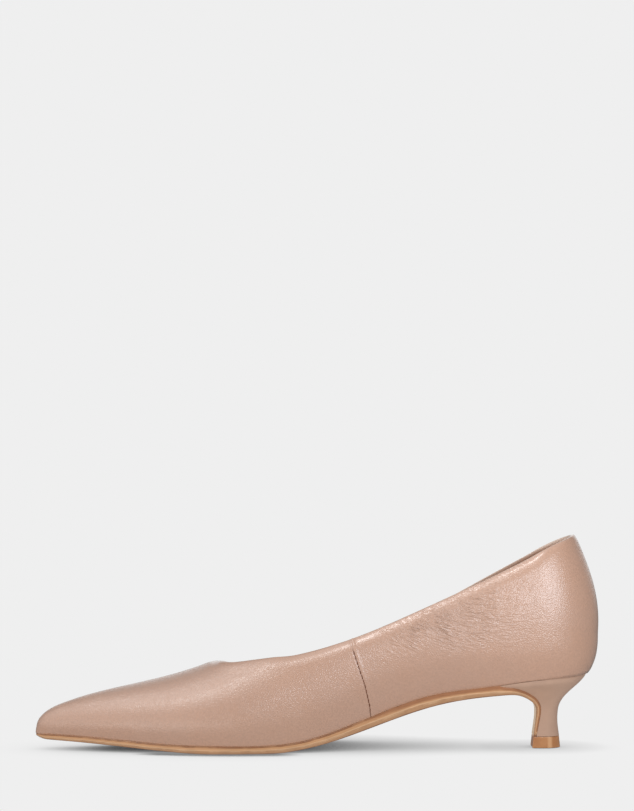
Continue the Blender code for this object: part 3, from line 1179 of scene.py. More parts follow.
@dataclass
class Upper(ShoePart):
    """Vamp and quarters as one lasted wall, with its lining, folded top edge, side seam and creases."""

    node: str = "upper"
    name: str = "lasted_upper"
    slot: str = "upper_leather"
    finishes: tuple[Finish, ...] = (
        UpperLeather(),
        LiningLeather("lining_leather", (205, 172, 148), (196, 162, 138), (0.53, 0.64)),
    )
    sharp_degrees: float = 50.0
    lining_facing: float = -0.5
    topline_from_mm: float = 35.0
    topline_steps: int = 8
    feather_crease: float = 0.9
    nose_mm: Point2 = (-126.0, -120.0)
    nose_up_mm: Point2 = (7.5, 10.0)
    nose_drop_mm: float = 1.4
    nose_reach_mm: float = 2.6
    nose_fill_mm: float = 0.3
    nose_fill_reach: Reach = (1.0, 4.5, 8.0, 16.0)
    nose_back_mm: float = 0.45
    nose_back_up_mm: Point2 = (11.0, 1.7)
    nose_rounds: int = 8
    back_mm: Point2 = (96.0, 122.0)
    back_fill_mm: float = 0.45
    seat_mm: Point2 = (34.0, 46.0)
    seat_fill_mm: float = 0.7
    fold_mm: float = 2.4
    rim_painted_light_from: float = 0.8
    edge_mm: Point2 = (2.0, 4.5)
    roll_lift_mm: float = 0.7
    roll_lift_reach_mm: float = 8.0
    roll_lift_power: float = 1.5
    roll_mm: float = 2.5
    roll_reach_mm: float = 6.5
    roll_guide: Point2 = (0.8, 1.5)
    roll_guides: int = 6
    roll_throat_mm: Point2 = (-50.0, 0.0)
    roll_throat_share: float = 0.6
    roll_back_mm: Point2 = (94.0, 112.0)
    roll_back_share: float = 0.2
    throat_lift_mm: float = 1.05
    throat_reach: Reach = (-47.0, -42.0, -22.0, -9.0)
    throat_side_mm: float = 6.0
    crinkle_centre: Point2 = (85.0, 135.0)
    crinkle_radius_mm: float = 62.0
    crinkle_up_mm: Point2 = (41.0, 57.0)
    crinkle_waver_mm: Point2 = (2.6, 1.82)
    crinkle_waves_mm: Point2 = (4.6, 2.3)
    crinkle_phase: float = 1.0
    crinkle_start_mm: Point2 = (12.0, 27.0)
    crinkle_fade_mm: Point2 = (68.0, 96.0)
    crinkle_rest: float = 0.1
    crinkle_end_mm: Point2 = (100.0, 114.0)
    crinkle_edge_mm: Point2 = (2.0, 7.5)
    crinkle_edge_share: float = 0.35
    crinkle_least: float = 0.02
    pucker_reach: Reach = (30.0, 52.0, 92.0, 104.0)
    pucker_mm: Point2 = (1.6, 4.0)
    seam: tuple[Point2, ...] = (
        (14.2, 52.4), (14.7, 50.4), (17.3, 42.7), (19.6, 35.8), (21.3, 31.0),
        (22.7, 25.1), (23.7, 20.6), (24.2, 15.3), (24.5, 12.0),
    )
    seam_depth_mm: float = 0.2
    seam_width_mm: float = 0.34
    seam_band_mm: float = 3.0
    lip_height_mm: float = 0.28
    lip_place_mm: float = -1.0
    lip_width_mm: float = 0.6
    lip_up_mm: Point2 = (25.0, 46.0)
    lip_low_share: float = 0.3
    far_mm: float = 20.0
    outer_shift: Point2 = (-5.0, -4.6)
    crease_share: float = 0.7
    crease_clear_mm: Point2 = (0.5, 3.0)
    creases: tuple[Crease, ...] = (
        Crease((34.2, 56.6), (43.1, 53.8), 0.4, 0.24),
        Crease((36.6, 59.3), (42.8, 54.2), -0.7, 0.26),
        Crease((40.8, 57.9), (48.9, 54.8), -0.4, 0.3),
        Crease((43.1, 58.6), (55.1, 52.8), 0.3, 0.36),
        Crease((50.3, 56.6), (59.2, 52.1), 0.5, 0.32),
        Crease((48.3, 52.1), (52.4, 50.1), 0.1, 0.18),
        Crease((53.4, 60.7), (63.3, 57.3), -0.7, 0.36),
        Crease((54.1, 63.4), (62.6, 59.7), -0.2, 0.24),
        Crease((56.4, 57.6), (63.6, 53.8), -0.4, 0.26),
        Crease((51.0, 63.7), (54.1, 62.0), -0.2, 0.2),
        Crease((60.1, 58.9), (70.3, 56.2), -0.8, 0.34),
        Crease((58.4, 55.2), (66.2, 53.0), -0.5, 0.2),
        Crease((66.2, 67.5), (72.1, 62.0), 0.7, 0.28),
        Crease((71.4, 68.6), (76.1, 64.8), 0.5, 0.26),
        Crease((70.0, 64.4), (76.1, 57.3), -1.0, 0.26),
        Crease((74.1, 56.6), (81.6, 55.9), -0.3, 0.24),
        Crease((83.7, 57.9), (91.2, 56.6), 0.5, 0.24),
        Crease((85.8, 65.1), (96.0, 66.1), -0.3, 0.18),
        Crease((95.3, 59.3), (102.8, 60.7), -0.3, 0.2),
        Crease((87.5, 55.9), (98.7, 52.8), 0.4, 0.18),
        Crease((89.5, 76.7), (95.3, 75.4), 0.5, 0.26),
        Crease((20.0, 46.3), (26.8, 43.7), 0.5, 0.2),
        Crease((17.9, 50.0), (21.0, 46.4), -0.3, 0.2),
    )

    def form(self, piece: Piece) -> None:
        """Shapes the upper's wall, from its zones to the folded top edge.

        Args:
            piece: the upper.
        """
        self.part_zones(piece)
        topline = self.read_topline(piece)
        self.hold_feather(piece)
        Bench.subdivide(piece)
        self.round_toe(piece)
        SEAT_LINE.straighten(piece)
        self.refine(piece)
        below = self.shape(piece, topline)
        self.join_zones(piece, below)

    def part_zones(self, piece: Piece) -> None:
        """Gives the outside, the lining and the turned edges their slots, parted at the wall's hard edges.

        Args:
            piece: the upper, which gets a bare slot for its turned edges.
        """
        piece.data.materials.append(None)
        Bench.open_mesh(piece, "EDGE")
        bpy.ops.mesh.edges_select_sharp(sharpness=math.radians(self.sharp_degrees))
        bpy.ops.mesh.mark_seam()
        Bench.close_mesh()
        across = Bench.rows(piece.data.polygons, "center")[:, 1]
        facing_in = Bench.rows(piece.data.polygons, "normal")[:, 1] < self.lining_facing
        seeds = {
            Zone.OUTSIDE: int(np.argmin(across)),
            Zone.LINING: int(np.argmax(np.where(facing_in, across, -1.0))),
        }
        zone_of = np.full(len(across), Zone.TURNED.value, dtype=np.int32)
        for zone, seed in seeds.items():
            chosen = np.zeros(len(across), dtype=bool)
            chosen[seed] = True
            Bench.pick_faces(piece, chosen)
            bpy.ops.mesh.select_linked(delimit={"SEAM"})
            Bench.close_mesh()
            piece.data.polygons.foreach_get("select", chosen)
            zone_of[chosen] = zone.value
        piece.data.polygons.foreach_set("material_index", zone_of)

    def read_topline(self, piece: Piece) -> np.ndarray:
        """Reads the points of the outer top edge, with points added between them.

        Args:
            piece: the upper before it is smoothed.

        Returns:
            Points along the edge, one row for each.
        """
        mesh = piece.data
        outside: set[tuple[int, int]] = set()
        turned: set[tuple[int, int]] = set()
        for polygon in mesh.polygons:
            if polygon.material_index == Zone.OUTSIDE.value:
                outside.update(polygon.edge_keys)
            elif polygon.material_index == Zone.TURNED.value:
                turned.update(polygon.edge_keys)
        rows = []
        steps = self.topline_steps
        for first, second in outside & turned:
            start, end = mesh.vertices[first].co, mesh.vertices[second].co
            if min(start.z, end.z) > self.topline_from_mm * MM:
                rows.extend(start.lerp(end, share / steps) for share in range(steps + 1))
        return np.array([tuple(row) for row in rows])

    def hold_feather(self, piece: Piece) -> None:
        """Creases the hard edges below, so that the wall stays close to the sole where it is turned in.

        Args:
            piece: the upper.
        """
        mesh = piece.data
        hold = []
        for edge in mesh.edges:
            low = max(mesh.vertices[index].co.z for index in edge.vertices) < self.topline_from_mm * MM
            hold.append(self.feather_crease if edge.use_seam and low else 0.0)
        mesh.attributes.new("crease_edge", "FLOAT", "EDGE").data.foreach_set("value", hold)

    def round_toe(self, piece: Piece) -> None:
        """Lowers and rounds the nose of the toe, above the feather line.

        Args:
            piece: the upper.
        """
        places = Bench.points(piece)
        above = smooth_step(*self.nose_up_mm, places[:, 2] / MM)
        behind = (places[:, 0] - places[:, 0].min()) / MM
        tip = dying_out(behind, self.nose_reach_mm)
        fill = self.nose_fill_mm * within(self.nose_fill_reach, behind)
        places[:, 2] += (fill - self.nose_drop_mm * tip**2) * above * MM
        corner = swell(places[:, 2] / MM, *self.nose_back_up_mm)
        places[:, 0] += self.nose_back_mm * MM * corner * tip
        Bench.move_points(piece, places)
        nose = 1.0 - smooth_step(*self.nose_mm, places[:, 0] / MM)
        Bench.relax(piece, nose * above, self.nose_rounds)

    def crinkle_share(self, places: np.ndarray) -> np.ndarray:
        """Says how crinkled the quarter's leather is at each point.

        Args:
            places: points of the upper.

        Returns:
            0 where it is smooth, up to 1.
        """
        along, up = places[:, 0] / MM, places[:, 2] / MM
        broad, narrow = self.crinkle_waves_mm
        waver = np.stack((np.sin(along / broad), np.sin(along / narrow + self.crinkle_phase)), axis=1)
        band = smooth_step(*self.crinkle_up_mm, up + waver @ np.array(self.crinkle_waver_mm))
        started = smooth_step(*self.crinkle_start_mm, along)
        fading = 1.0 - (1.0 - self.crinkle_rest) * smooth_step(*self.crinkle_fade_mm, along)
        return band * started * fading * (1.0 - smooth_step(*self.crinkle_end_mm, along))

    def seam_distance(self, places: np.ndarray) -> np.ndarray:
        """Measures how far points are from the side seam, in mm, below 0 in front of it.

        Args:
            places: points of the upper.

        Returns:
            The distance, far off the seam on the outer side.
        """
        distance, _ = nearest_on_path(places[:, (0, 2)] / MM, np.array(self.seam))
        return np.where(places[:, 1] < 0.0, np.clip(distance, -self.far_mm, self.far_mm), self.far_mm)

    def refine(self, piece: Piece) -> None:
        """Divides the crinkled quarters and the seam's band finer, so that they can be shaped.

        Args:
            piece: the upper.
        """
        for only_seam in (False, True):
            centres = Bench.rows(piece.data.polygons, "center")
            near = np.abs(self.seam_distance(centres)) < self.seam_band_mm
            if not only_seam:
                near |= self.crinkle_share(centres) > self.crinkle_least
            Bench.pick_faces(piece, near & (Bench.slots(piece) == Zone.OUTSIDE.value))
            bpy.ops.mesh.subdivide(number_cuts=1)
            Bench.close_mesh()

    def shape(self, piece: Piece, topline: np.ndarray) -> np.ndarray:
        """Rolls the top edge in, presses the seam and the creases, and notes where they are.

        Args:
            piece: the upper.
            topline: points along its outer top edge.

        Returns:
            How far each point is from the top edge, in mm.
        """
        places = Bench.points(piece)
        normals = Bench.rows(piece.data.vertices, "normal")
        outside = Bench.points_of(piece, Bench.slots(piece) == Zone.OUTSIDE.value)
        edge = sorted_points(topline)
        below = np.array([edge.find(row)[2] for row in places]) / MM
        places = self.roll_edge(places, normals, outside, below)
        distance = self.seam_distance(places)
        height = self.crease_height(places, outside, below)
        height += np.where(outside, self.seam_height(places, distance), 0.0)
        height += np.where(outside, self.back_height(places), 0.0)
        places = places + normals * (height * MM)[:, None]
        throat = within(self.throat_reach, places[:, 0] / MM)
        throat *= smooth_step(0.0, self.throat_side_mm, -places[:, 1] / MM)
        lift = self.roll_lift_mm + self.throat_lift_mm * throat
        places[:, 2] += lift * MM * dying_out(below, self.roll_lift_reach_mm) ** self.roll_lift_power
        Bench.move_points(piece, places)
        self.note_places(piece, places, below, distance)
        # Painted light: marks the inner side of the folded top edge, down to the fold, for the leather to
        # lighten.
        rim_painted_light = 1.0 - smooth_step(self.fold_mm * self.rim_painted_light_from, self.fold_mm, below)
        Bench.note(piece, "rim_painted_light", np.where(outside, 0.0, rim_painted_light))
        return below

    def roll_edge(
        self, places: np.ndarray, normals: np.ndarray, outside: np.ndarray, below: np.ndarray
    ) -> np.ndarray:
        """Rolls the folded top edge towards the foot.

        Args:
            places: the upper's points.
            normals: their normals.
            outside: which points are on the outside.
            below: how far each point is from the top edge, in mm.

        Returns:
            The moved points.
        """
        nearest, farthest = (share * self.roll_reach_mm for share in self.roll_guide)
        guides = np.flatnonzero(outside & (below > nearest) & (below < farthest))
        tree = sorted_points(places[guides])
        along = places[:, 0] / MM
        past_throat = smooth_step(*self.roll_throat_mm, along)
        full = self.roll_throat_share + (1.0 - self.roll_throat_share) * past_throat
        full *= 1.0 - (1.0 - self.roll_back_share) * smooth_step(*self.roll_back_mm, along)
        moved = places.copy()
        for index in np.flatnonzero(below < self.roll_reach_mm):
            found = [guides[row] for _, row, _ in tree.find_n(places[index], self.roll_guides)]
            inward = -np.mean([normals[guide] for guide in found], axis=0)
            share = (1.0 - below[index] / self.roll_reach_mm) ** 2 * full[index]
            moved[index] += inward * (self.roll_mm * MM * share)
        return moved

    def crease_height(self, places: np.ndarray, outside: np.ndarray, below: np.ndarray) -> np.ndarray:
        """Gives the height of the creases on both side walls.

        Args:
            places: the upper's points.
            outside: which points are on the outside.
            below: how far each point is from the top edge, in mm.

        Returns:
            A height for each point, in mm.
        """
        height = np.zeros(len(places))
        for side, shift in ((Side.INNER, (0.0, 0.0)), (Side.OUTER, self.outer_shift)):
            wall = outside & (np.sign(places[:, 1]) == side.value)
            flat = places[wall][:, (0, 2)] / MM
            height[wall] += self.crease_share * sum(crease.relief(flat, shift) for crease in self.creases)
        return height * smooth_step(*self.crease_clear_mm, below)

    def seam_height(self, places: np.ndarray, distance: np.ndarray) -> np.ndarray:
        """Gives the height of the seam's groove and of the lip in front of it.

        Args:
            places: the upper's points.
            distance: how far each point is from the seam, in mm.

        Returns:
            A height for each point, in mm.
        """
        groove = -self.seam_depth_mm * swell(distance, 0.0, self.seam_width_mm)
        lip = self.lip_height_mm * swell(distance, self.lip_place_mm, self.lip_width_mm)
        high = smooth_step(*self.lip_up_mm, places[:, 2] / MM)
        return groove + lip * (self.lip_low_share + (1.0 - self.lip_low_share) * high)

    def back_height(self, places: np.ndarray) -> np.ndarray:
        """Gives the fullness of the counter at the back, most of it on the seat.

        Args:
            places: the upper's points.

        Returns:
            A height for each point, in mm.
        """
        back = smooth_step(*self.back_mm, places[:, 0] / MM)
        seat = 1.0 - smooth_step(*self.seat_mm, places[:, 2] / MM)
        return back * (self.back_fill_mm + self.seat_fill_mm * seat)

    def note_places(
        self, piece: Piece, places: np.ndarray, below: np.ndarray, distance: np.ndarray
    ) -> None:
        """Keeps on the mesh what the leather's material reads.

        Args:
            piece: the upper.
            places: its points.
            below: how far each point is from the top edge, in mm.
            distance: how far each point is from the seam, in mm.
        """
        along, up = places[:, 0] / MM, places[:, 2] / MM
        offset = np.stack((along - self.crinkle_centre[0], up - self.crinkle_centre[1]), axis=1)
        radius = np.linalg.norm(offset, axis=1)
        turn = np.arctan2(offset[:, 0], -offset[:, 1]) * self.crinkle_radius_mm
        Bench.note(piece, "arc", np.stack((turn * MM, radius * MM, places[:, 1]), axis=1))
        Bench.note(piece, "edge", 1.0 - smooth_step(*self.edge_mm, below))
        clear = smooth_step(*self.crinkle_edge_mm, below)
        fade = self.crinkle_edge_share + (1.0 - self.crinkle_edge_share) * clear
        Bench.note(piece, "crinkle", self.crinkle_share(places) * fade)
        Bench.note(piece, "seam", distance * MM)
        near = 1.0 - smooth_step(*self.pucker_mm, below)
        Bench.note(piece, "pucker", within(self.pucker_reach, along) * near)

    def join_zones(self, piece: Piece, below: np.ndarray) -> None:
        """Gives the turned edges the outside's slot, and folds the leather over the top edge.

        Args:
            piece: the upper.
            below: how far each point is from the top edge, in mm.
        """
        zones = Bench.slots(piece)
        folded = [below[list(polygon.vertices)].mean() < self.fold_mm for polygon in piece.data.polygons]
        zones[(zones == Zone.TURNED.value) | folded] = Zone.OUTSIDE.value
        piece.data.polygons.foreach_set("material_index", zones)
        piece.data.materials.pop(index=Zone.TURNED.value)


@dataclass
class SeamStitches:
    """The short dark stitches that show in the closed side seam."""

    name: str = "seam_stitches"
    slot: str = "upper_leather"
    thread: SeamThread = SeamThread()
    pitch_mm: float = 2.25
    length_mm: float = 1.6
    radius_mm: float = 0.21
    sides: int = 8
    end_share: float = 0.7
    end_degrees: float = 60.0
    slant_degrees: float = 8.0
    first_mm: float = 6.0
    last_mm: float = 2.6
    lift_mm: float = 0.02
    rays_from: float = -0.1

    def build(self, upper: Piece, seam: tuple[Point2, ...]) -> Piece:
        """Builds the stitches along the seam.

        Args:
            upper: the finished upper.
            seam: the seam's points, in mm along and up.

        Returns:
            The stitches, as one piece.
        """
        corners = [point.co for point in upper.data.vertices]
        wall = BVHTree.FromPolygons(corners, [polygon.vertices for polygon in upper.data.polygons])
        line = np.array(seam)
        steps = np.linalg.norm(np.diff(line, axis=0), axis=1)
        passed = np.concatenate(((0.0,), np.cumsum(steps)))
        start, end = self.first_mm + steps[0], passed[-1] - steps[-1] - self.last_mm
        first = self.model_one()
        stitches = [first]
        places = np.arange(start, end, self.pitch_mm)
        for _ in places[1:]:
            Bench.only(first)
            bpy.ops.object.duplicate(linked=False)
            stitches.append(bpy.context.view_layer.objects.active)
        for stitch, place in zip(stitches, places):
            here, normal = self.on_wall(wall, line, passed, place)
            ahead, _ = self.on_wall(wall, line, passed, place + self.length_mm / 2.0)
            along = (ahead - here).normalized()
            across = along.cross(normal).normalized()
            turn = Matrix((across, across.cross(along), along)).transposed()
            turn = turn @ Matrix.Rotation(math.radians(self.slant_degrees), 3, "Y")
            stitch.matrix_world = Matrix.Translation(here + normal * self.lift_mm * MM) @ turn.to_4x4()
        Bench.only(first)
        for stitch in stitches:
            stitch.select_set(True)
        bpy.ops.object.transform_apply(location=True, rotation=True, scale=True)
        bpy.ops.object.join()
        first.data.materials.append(self.thread.material())
        Bench.shade_smooth(first)
        Bench.hand_over(first, None, self.slot)
        return first

    def model_one(self) -> Piece:
        """Models one stitch at the origin, lying along Z, with rounded ends.

        Returns:
            The stitch.
        """
        bpy.ops.object.select_all(action="DESELECT")
        bpy.ops.mesh.primitive_cylinder_add(
            vertices=self.sides,
            radius=self.radius_mm * MM,
            depth=self.length_mm * MM,
            location=(0.0, 0.0, 0.0),
        )
        stitch = bpy.context.view_layer.objects.active
        stitch.name = self.name
        Bench.soften(stitch, self.radius_mm * self.end_share, self.end_degrees)
        return stitch

    def on_wall(
        self, wall: BVHTree, line: np.ndarray, passed: np.ndarray, place: float
    ) -> tuple[Vector, Vector]:
        """Finds a point of the seam on the wall.

        Args:
            wall: the upper's faces.
            line: the seam's points, in mm along and up.
            passed: the length of seam passed at each point.
            place: the length of seam to go.

        Returns:
            The point and the wall's normal there.
        """
        along = float(np.interp(place, passed, line[:, 0])) * MM
        up = float(np.interp(place, passed, line[:, 1])) * MM
        spot, normal, _, _ = wall.ray_cast(Vector((along, self.rays_from, up)), Vector((0.0, 1.0, 0.0)))
        return spot, normal


@dataclass
class Sock(ShoePart):
    """The leather-covered insole that the foot stands on."""

    node: str = "insole"
    name: str = "insole_sock"
    slot: str = "sock_leather"
    finishes: tuple[Finish, ...] = (
        LiningLeather("sock_leather", (208, 176, 152), (200, 167, 142), (0.47, 0.58)),
    )
    edge_mm: float = 0.5

    def form(self, piece: Piece) -> None:
        """Rounds the sock's edge and fits it to the seat.

        Args:
            piece: the sock.
        """
        Bench.soften(piece, self.edge_mm)
        Bench.subdivide(piece)
        SEAT_LINE.straighten(piece)


@dataclass
class Sole(ShoePart):
    """The leather sole with its waxed and bevelled edge and the flap down the heel's breast."""

    node: str = "outsole"
    name: str = "leather_sole"
    slot: str = "sole_leather"
    finishes: tuple[Finish, ...] = (WaxedEdge(), SoleLeather())
    edge_mm: float = 0.14
    sharp_degrees: float = 24.0
    toe_mm: float = -120.0
    side_from: float = 0.35
    bevel_share: float = 0.38
    joint_mm: float = 0.26
    feather_mm: float = 0.4
    tip_mm: float = 7.0
    tip_lift_mm: float = 1.2
    tip_back_mm: float = 0.7
    tip_up_mm: Point2 = (4.8, 6.8)
    corner_reach: Reach = (71.0, 82.0, 82.5, 84.5)
    corner_power: float = 1.5
    corner_lift_mm: float = 0.62
    corner_edge_mm: Point2 = (1.5, 4.0)
    corner_near_mm: float = 1.5
    corner_band: Point2 = (0.45, 0.95)

    def form(self, piece: Piece) -> None:
        """Shapes the sole and closes its joints with the upper and the heel.

        Args:
            piece: the sole.
        """
        self.part_zones(piece)
        Bench.soften(piece, self.edge_mm, self.sharp_degrees)
        Bench.subdivide(piece)
        self.round_toe(piece)
        self.close_corner(piece)
        Bench.press_together(piece, UP, self.feather_mm)
        Bench.press_together(piece, BACKWARDS, self.joint_mm)

    def part_zones(self, piece: Piece) -> None:
        """Tells the sole's edge from its faces, and notes the height across the edge.

        Args:
            piece: the sole before it is smoothed.
        """
        at_toe = Bench.rows(piece.data.polygons, "center")[:, 0] < self.toe_mm * MM
        normals = Bench.rows(piece.data.polygons, "normal")
        outward = np.where(at_toe, np.hypot(normals[:, 0], normals[:, 1]), np.abs(normals[:, 1]))
        on_edge = outward > self.side_from
        towards_foot = normals[:, 0] + normals[:, 2] > 0.0
        zones = np.where(on_edge, SoleZone.EDGE.value, SoleZone.FACE.value).astype(np.int32)
        piece.data.polygons.foreach_set("material_index", zones)
        band = np.full(len(piece.data.vertices), self.bevel_share)
        for polygon, edge, above in zip(piece.data.polygons, on_edge, towards_foot):
            if not edge:
                band[list(polygon.vertices)] = 1.0 if above else 0.0
        Bench.note(piece, "band", band)

    def round_toe(self, piece: Piece) -> None:
        """Rounds the underside up to the tip of the toe, and sets the tip back under the upper.

        Args:
            piece: the sole.
        """
        places = Bench.points(piece)
        share = dying_out(places[:, 0] / MM - places[:, 0].min() / MM, self.tip_mm) ** 2
        low = 1.0 - smooth_step(*self.tip_up_mm, places[:, 2] / MM)
        places[:, 0] += self.tip_back_mm * MM * share
        places[:, 2] += self.tip_lift_mm * MM * share * low
        Bench.move_points(piece, places)

    def close_corner(self, piece: Piece) -> None:
        """Draws the sole's top edge up into the corner where the upper and the heel meet.

        Args:
            piece: the sole.
        """
        places = Bench.points(piece)
        band = np.zeros(len(places), dtype=np.float32)
        piece.data.attributes["band"].data.foreach_get("value", band)
        along, across = places[:, 0] / MM, np.abs(places[:, 1]) / MM
        start, full, ending, end = self.corner_reach
        rise = np.clip((along - start) / (full - start), 0.0, 1.0) ** self.corner_power
        rise *= 1.0 - smooth_step(ending, end, along)
        near = (along > start) & (along < end)
        wide = [across[np.abs(along - here) < self.corner_near_mm].max() for here in along[near]]
        rise[near] *= 1.0 - smooth_step(*self.corner_edge_mm, np.array(wide) - across[near])
        places[:, 2] += self.corner_lift_mm * MM * rise * smooth_step(*self.corner_band, band)
        Bench.move_points(piece, places)


@dataclass
class Heel(ShoePart):
    """The covered kitten heel."""

    node: str = "heel"
    name: str = "covered_heel"
    slot: str = "heel_cover"
    finishes: tuple[Finish, ...] = (CoverLeather(),)
    edge_mm: float = 0.14
    joint_mm: float = 0.26

    def form(self, piece: Piece) -> None:
        """Rounds the heel's edges and closes its joint with the upper.

        Args:
            piece: the heel.
        """
        Bench.soften(piece, self.edge_mm)
        Bench.subdivide(piece)
        SEAT_LINE.straighten(piece)
        Bench.press_together(piece, UP, self.joint_mm)


@dataclass
class Lift(ShoePart):
    """The rubber lift under the heel."""

    node: str = "top_piece"
    name: str = "heel_lift"
    slot: str = "top_piece_rubber"
    finishes: tuple[Finish, ...] = (LiftRubber(),)
    edge_mm: float = 0.25
    joint_mm: float = 0.26

    def form(self, piece: Piece) -> None:
        """Rounds the lift's edges and closes its joint with the heel.

        Args:
            piece: the lift.
        """
        Bench.soften(piece, self.edge_mm)
        Bench.subdivide(piece)
        Bench.press_together(piece, UP, self.joint_mm)


@dataclass(frozen=True)
class SoftBox:
    """A rectangular soft light, by its place, what it is turned towards, its size and its brightness."""

    name: str
    place: Triple
    aim: Triple
    width: float
    height: float
    brightness: float
    tint: Triple = (1.0, 1.0, 1.0)

    def set_up(self) -> None:
        """Adds the light, turned towards the shoe."""
        bpy.ops.object.select_all(action="DESELECT")
        bpy.ops.object.light_add(type="AREA", location=self.place)
        lamp = bpy.context.view_layer.objects.active
        lamp.name = self.name
        lamp.rotation_euler = (Vector(self.place) - Vector(self.aim)).to_track_quat("Z", "Y").to_euler()
        lamp.data.shape = "RECTANGLE"
        lamp.data.color = self.tint
        lamp.data.size = self.width
        lamp.data.size_y = self.height
        lamp.data.energy = self.brightness * math.pi * self.width * self.height
        lamp.visible_camera = False


@dataclass(frozen=True)
class RoomGlow:
    """A broad glow of the room, by its direction from the shoe and its spread, in degrees."""

    azimuth: float
    elevation: float
    inner: float
    outer: float
    strength: float

    def axis(self) -> Triple:
        """Gives the glow's direction."""
        turn, rise = math.radians(self.azimuth), math.radians(self.elevation)
        return (math.sin(turn) * math.cos(rise), -math.cos(turn) * math.cos(rise), math.sin(rise))

    def spread(self) -> Point2:
        """Gives the cosines of the angles where the glow ends and where it is full."""
        return (math.cos(math.radians(self.outer)), math.cos(math.radians(self.inner)))


@dataclass
class Studio:
    """The pale floor, the soft light and the camera at the photograph's angle."""

    backdrop: Colour = (239, 239, 239)
    floor_size: float = 60.0
    floor_drop_mm: float = 0.15
    shadow_reach: float = 0.031
    shadow_samples: int = 16
    shadow_wide: float = 0.6
    shadow_tight: float = 0.35
    shadow_power: float = 8.0
    shadow_toe: Point2 = (-0.135, -0.09)
    shadow_toe_share: float = 0.45
    shadow_front: Point2 = (-0.05, -0.008)
    shadow_front_share: float = 0.3
    contact_shut: Point2 = (0.3, 0.46)
    contact_share: float = 0.72
    contact_front: Point2 = (-0.03, -0.012)
    contact_begins: Point2 = (-0.09, -0.07)
    contact_ends: Point2 = (-0.02, 0.0)
    bounce_shade: float = 0.05
    floor_glow: float = 0.92
    floor_gloss: float = 0.19
    room_light: float = 0.3
    room_gloss: float = 0.22
    glows: tuple[RoomGlow, ...] = (
        RoomGlow(172.0, 6.0, 6.0, 34.0, 0.6),
        RoomGlow(115.0, 5.0, 15.0, 60.0, -0.03),
        RoomGlow(-80.0, 34.0, 10.0, 60.0, 0.4),
        RoomGlow(-45.0, 2.0, 6.0, 40.0, 0.22),
        RoomGlow(0.0, 88.0, 10.0, 60.0, 0.36),
    )
    boxes: tuple[SoftBox, ...] = (
        SoftBox("overhead_box", (-0.49, 0.22, 1.07), (-0.07, -0.02, 0.025), 0.3, 0.08, 4.0),
        SoftBox("glint_box", (-0.32, -0.28, 0.93), (-0.32, -0.03, 0.05), 0.36, 0.09, 8.5),
        SoftBox(
            "counter_box", (0.1655, -0.2055, 0.139), (0.0945, -0.0295, 0.068), 0.201, 0.095, 3.1,
            (0.92, 1.0, 1.09),
        ),
        SoftBox("low_box", (-0.16, -0.26, 0.02), (-0.075, -0.03, 0.008), 0.32, 0.06, 1.1, (1.03, 1.0, 0.96)),
    )
    camera_away: float = 1.5
    camera_height: float = 0.1557
    camera_pitch: float = 90.0
    focal_px: float = 3285.0
    sensor_mm: float = 36.0

    def build(self) -> None:
        """Sets up floor, light and camera."""
        self.lay_floor()
        self.fill_world()
        for box in self.boxes:
            box.set_up()
        self.set_camera()
        view = bpy.context.scene.view_settings
        view.view_transform = "Standard"
        view.look = "None"
        LOG.info("studio: %d soft boxes", len(self.boxes))

    def lay_floor(self) -> None:
        """Lays an evenly bright floor just under the shoe, darker only close under it."""
        bpy.ops.object.select_all(action="DESELECT")
        bpy.ops.mesh.primitive_plane_add(size=self.floor_size, location=(0.0, 0.0, -self.floor_drop_mm * MM))
        floor = bpy.context.view_layer.objects.active
        floor.name = "studio_floor"
        shader = Shader("studio_floor")
        shader.tree.nodes.remove(shader.surface)
        path = shader.add("ShaderNodeLightPath")
        to_camera = path.outputs["Is Camera Ray"]
        shade = self.floor_shade(shader)
        shade = shader.product(shade, shader.ramp(to_camera, WHOLE, (self.bounce_shade, 1.0)))
        lit = shader.ramp(path.outputs["Is Glossy Ray"], WHOLE, (self.floor_glow, self.floor_gloss))
        seen = shader.ramp(to_camera, WHOLE, (lit, 1.0))
        glow = shader.add("ShaderNodeEmission")
        shader.feed(glow.inputs["Color"], linear(self.backdrop))
        shader.feed(glow.inputs["Strength"], shader.product(shader.calc("SUBTRACT", 1.0, shade), seen))
        shader.feed(shader.tree.nodes["Material Output"].inputs["Surface"], glow.outputs[0])
        shader.material.cycles.emission_sampling = "NONE"
        floor.data.materials.append(shader.material)

    def floor_shade(self, shader: Shader) -> Socket:
        """Shades the floor where the shoe is close above it, most where the ball touches it.

        Args:
            shader: the floor's shader.

        Returns:
            The shade, 0 to 1.
        """
        along, across = shader.axis("X"), shader.axis("Y")
        closeness = shader.add("ShaderNodeAmbientOcclusion", samples=self.shadow_samples)
        shader.feed(closeness.inputs["Distance"], self.shadow_reach)
        shut = shader.calc("SUBTRACT", 1.0, closeness.outputs["AO"])
        tight = shader.calc("POWER", shut, self.shadow_power)
        shade = shader.product(
            shader.layers((tight, self.shadow_tight), (shut, self.shadow_wide)),
            shader.ramp(along, self.shadow_toe, (self.shadow_toe_share, 1.0)),
            shader.ramp(across, self.shadow_front, (self.shadow_front_share, 1.0)),
        )
        touch = shader.product(
            shader.ramp(shut, self.contact_shut, (0.0, self.contact_share)),
            shader.ramp(across, self.contact_front, FALLING),
            shader.ramp(along, self.contact_begins),
            shader.ramp(along, self.contact_ends, FALLING),
        )
        return shader.calc("MAXIMUM", shade, touch)

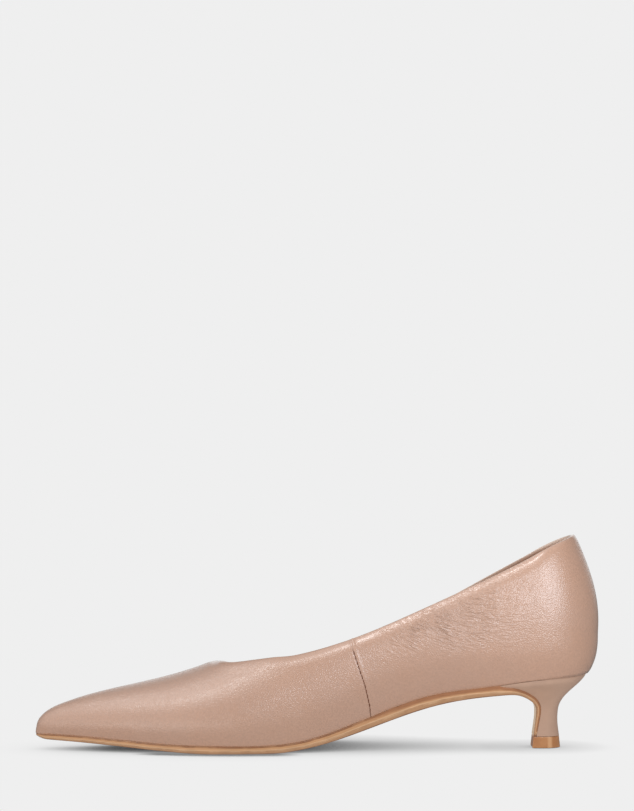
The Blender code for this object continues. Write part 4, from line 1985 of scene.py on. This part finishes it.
    def fill_world(self) -> None:
        """Fills the room with dim light and its broad glows, before a plain backdrop."""
        world = bpy.data.worlds.new("studio_room")
        bpy.context.scene.world = world
        world.use_nodes = True
        world.cycles.sampling_method = "NONE"
        board = NodeBoard(world.node_tree)
        direction = board.add("ShaderNodeTexCoord").outputs["Generated"]
        path = board.add("ShaderNodeLightPath")
        total = board.ramp(path.outputs["Is Glossy Ray"], WHOLE, (self.room_light, self.room_gloss))
        for glow in self.glows:
            turn = board.add("ShaderNodeVectorMath", operation="DOT_PRODUCT")
            board.feed(turn.inputs[0], direction)
            board.feed(turn.inputs[1], glow.axis())
            light = board.ramp(turn.outputs["Value"], glow.spread(), (0.0, glow.strength))
            total = board.calc("ADD", light, total)
        room = board.tree.nodes["Background"]
        board.feed(room.inputs["Color"], (1.0, 1.0, 1.0, 1.0))
        board.feed(room.inputs["Strength"], total)
        plain = board.add("ShaderNodeBackground")
        board.feed(plain.inputs["Color"], linear(self.backdrop))
        mix = board.add("ShaderNodeMixShader")
        parts = (path.outputs["Is Camera Ray"], room.outputs[0], plain.outputs[0])
        for socket, part in zip(mix.inputs, parts):
            board.feed(socket, part)
        board.feed(board.tree.nodes["World Output"].inputs["Surface"], mix.outputs[0])

    def set_camera(self) -> None:
        """Sets the camera level, square to the shoe's inner side."""
        bpy.ops.object.select_all(action="DESELECT")
        bpy.ops.object.camera_add(
            location=(0.0, -self.camera_away, self.camera_height),
            rotation=(math.radians(self.camera_pitch), 0.0, 0.0),
        )
        camera = bpy.context.view_layer.objects.active
        camera.name = "photo_camera"
        camera.data.sensor_width = self.sensor_mm
        camera.data.sensor_fit = "AUTO"
        camera.data.lens = self.focal_px * self.sensor_mm / max(PHOTO_WIDTH, PHOTO_HEIGHT)
        bpy.context.scene.camera = camera


def main() -> None:
    """Builds the studio and the shoe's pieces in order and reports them."""
    logging.basicConfig(level=logging.INFO, format="%(name)s %(message)s")
    bpy.ops.object.select_all(action="SELECT")
    bpy.ops.object.delete()
    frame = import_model()
    bpy.ops.object.select_all(action="DESELECT")
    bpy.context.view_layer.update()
    Studio().build()
    upper = Upper()
    wall = upper.build(frame)
    pieces = [wall, SeamStitches().build(wall, upper.seam)]
    pieces += [part.build(frame) for part in (Sock(), Sole(), Heel(), Lift())]
    for piece in pieces:
        LOG.info("%s: %d faces", piece.name, len(piece.data.polygons))


if __name__ == "__main__":
    main()
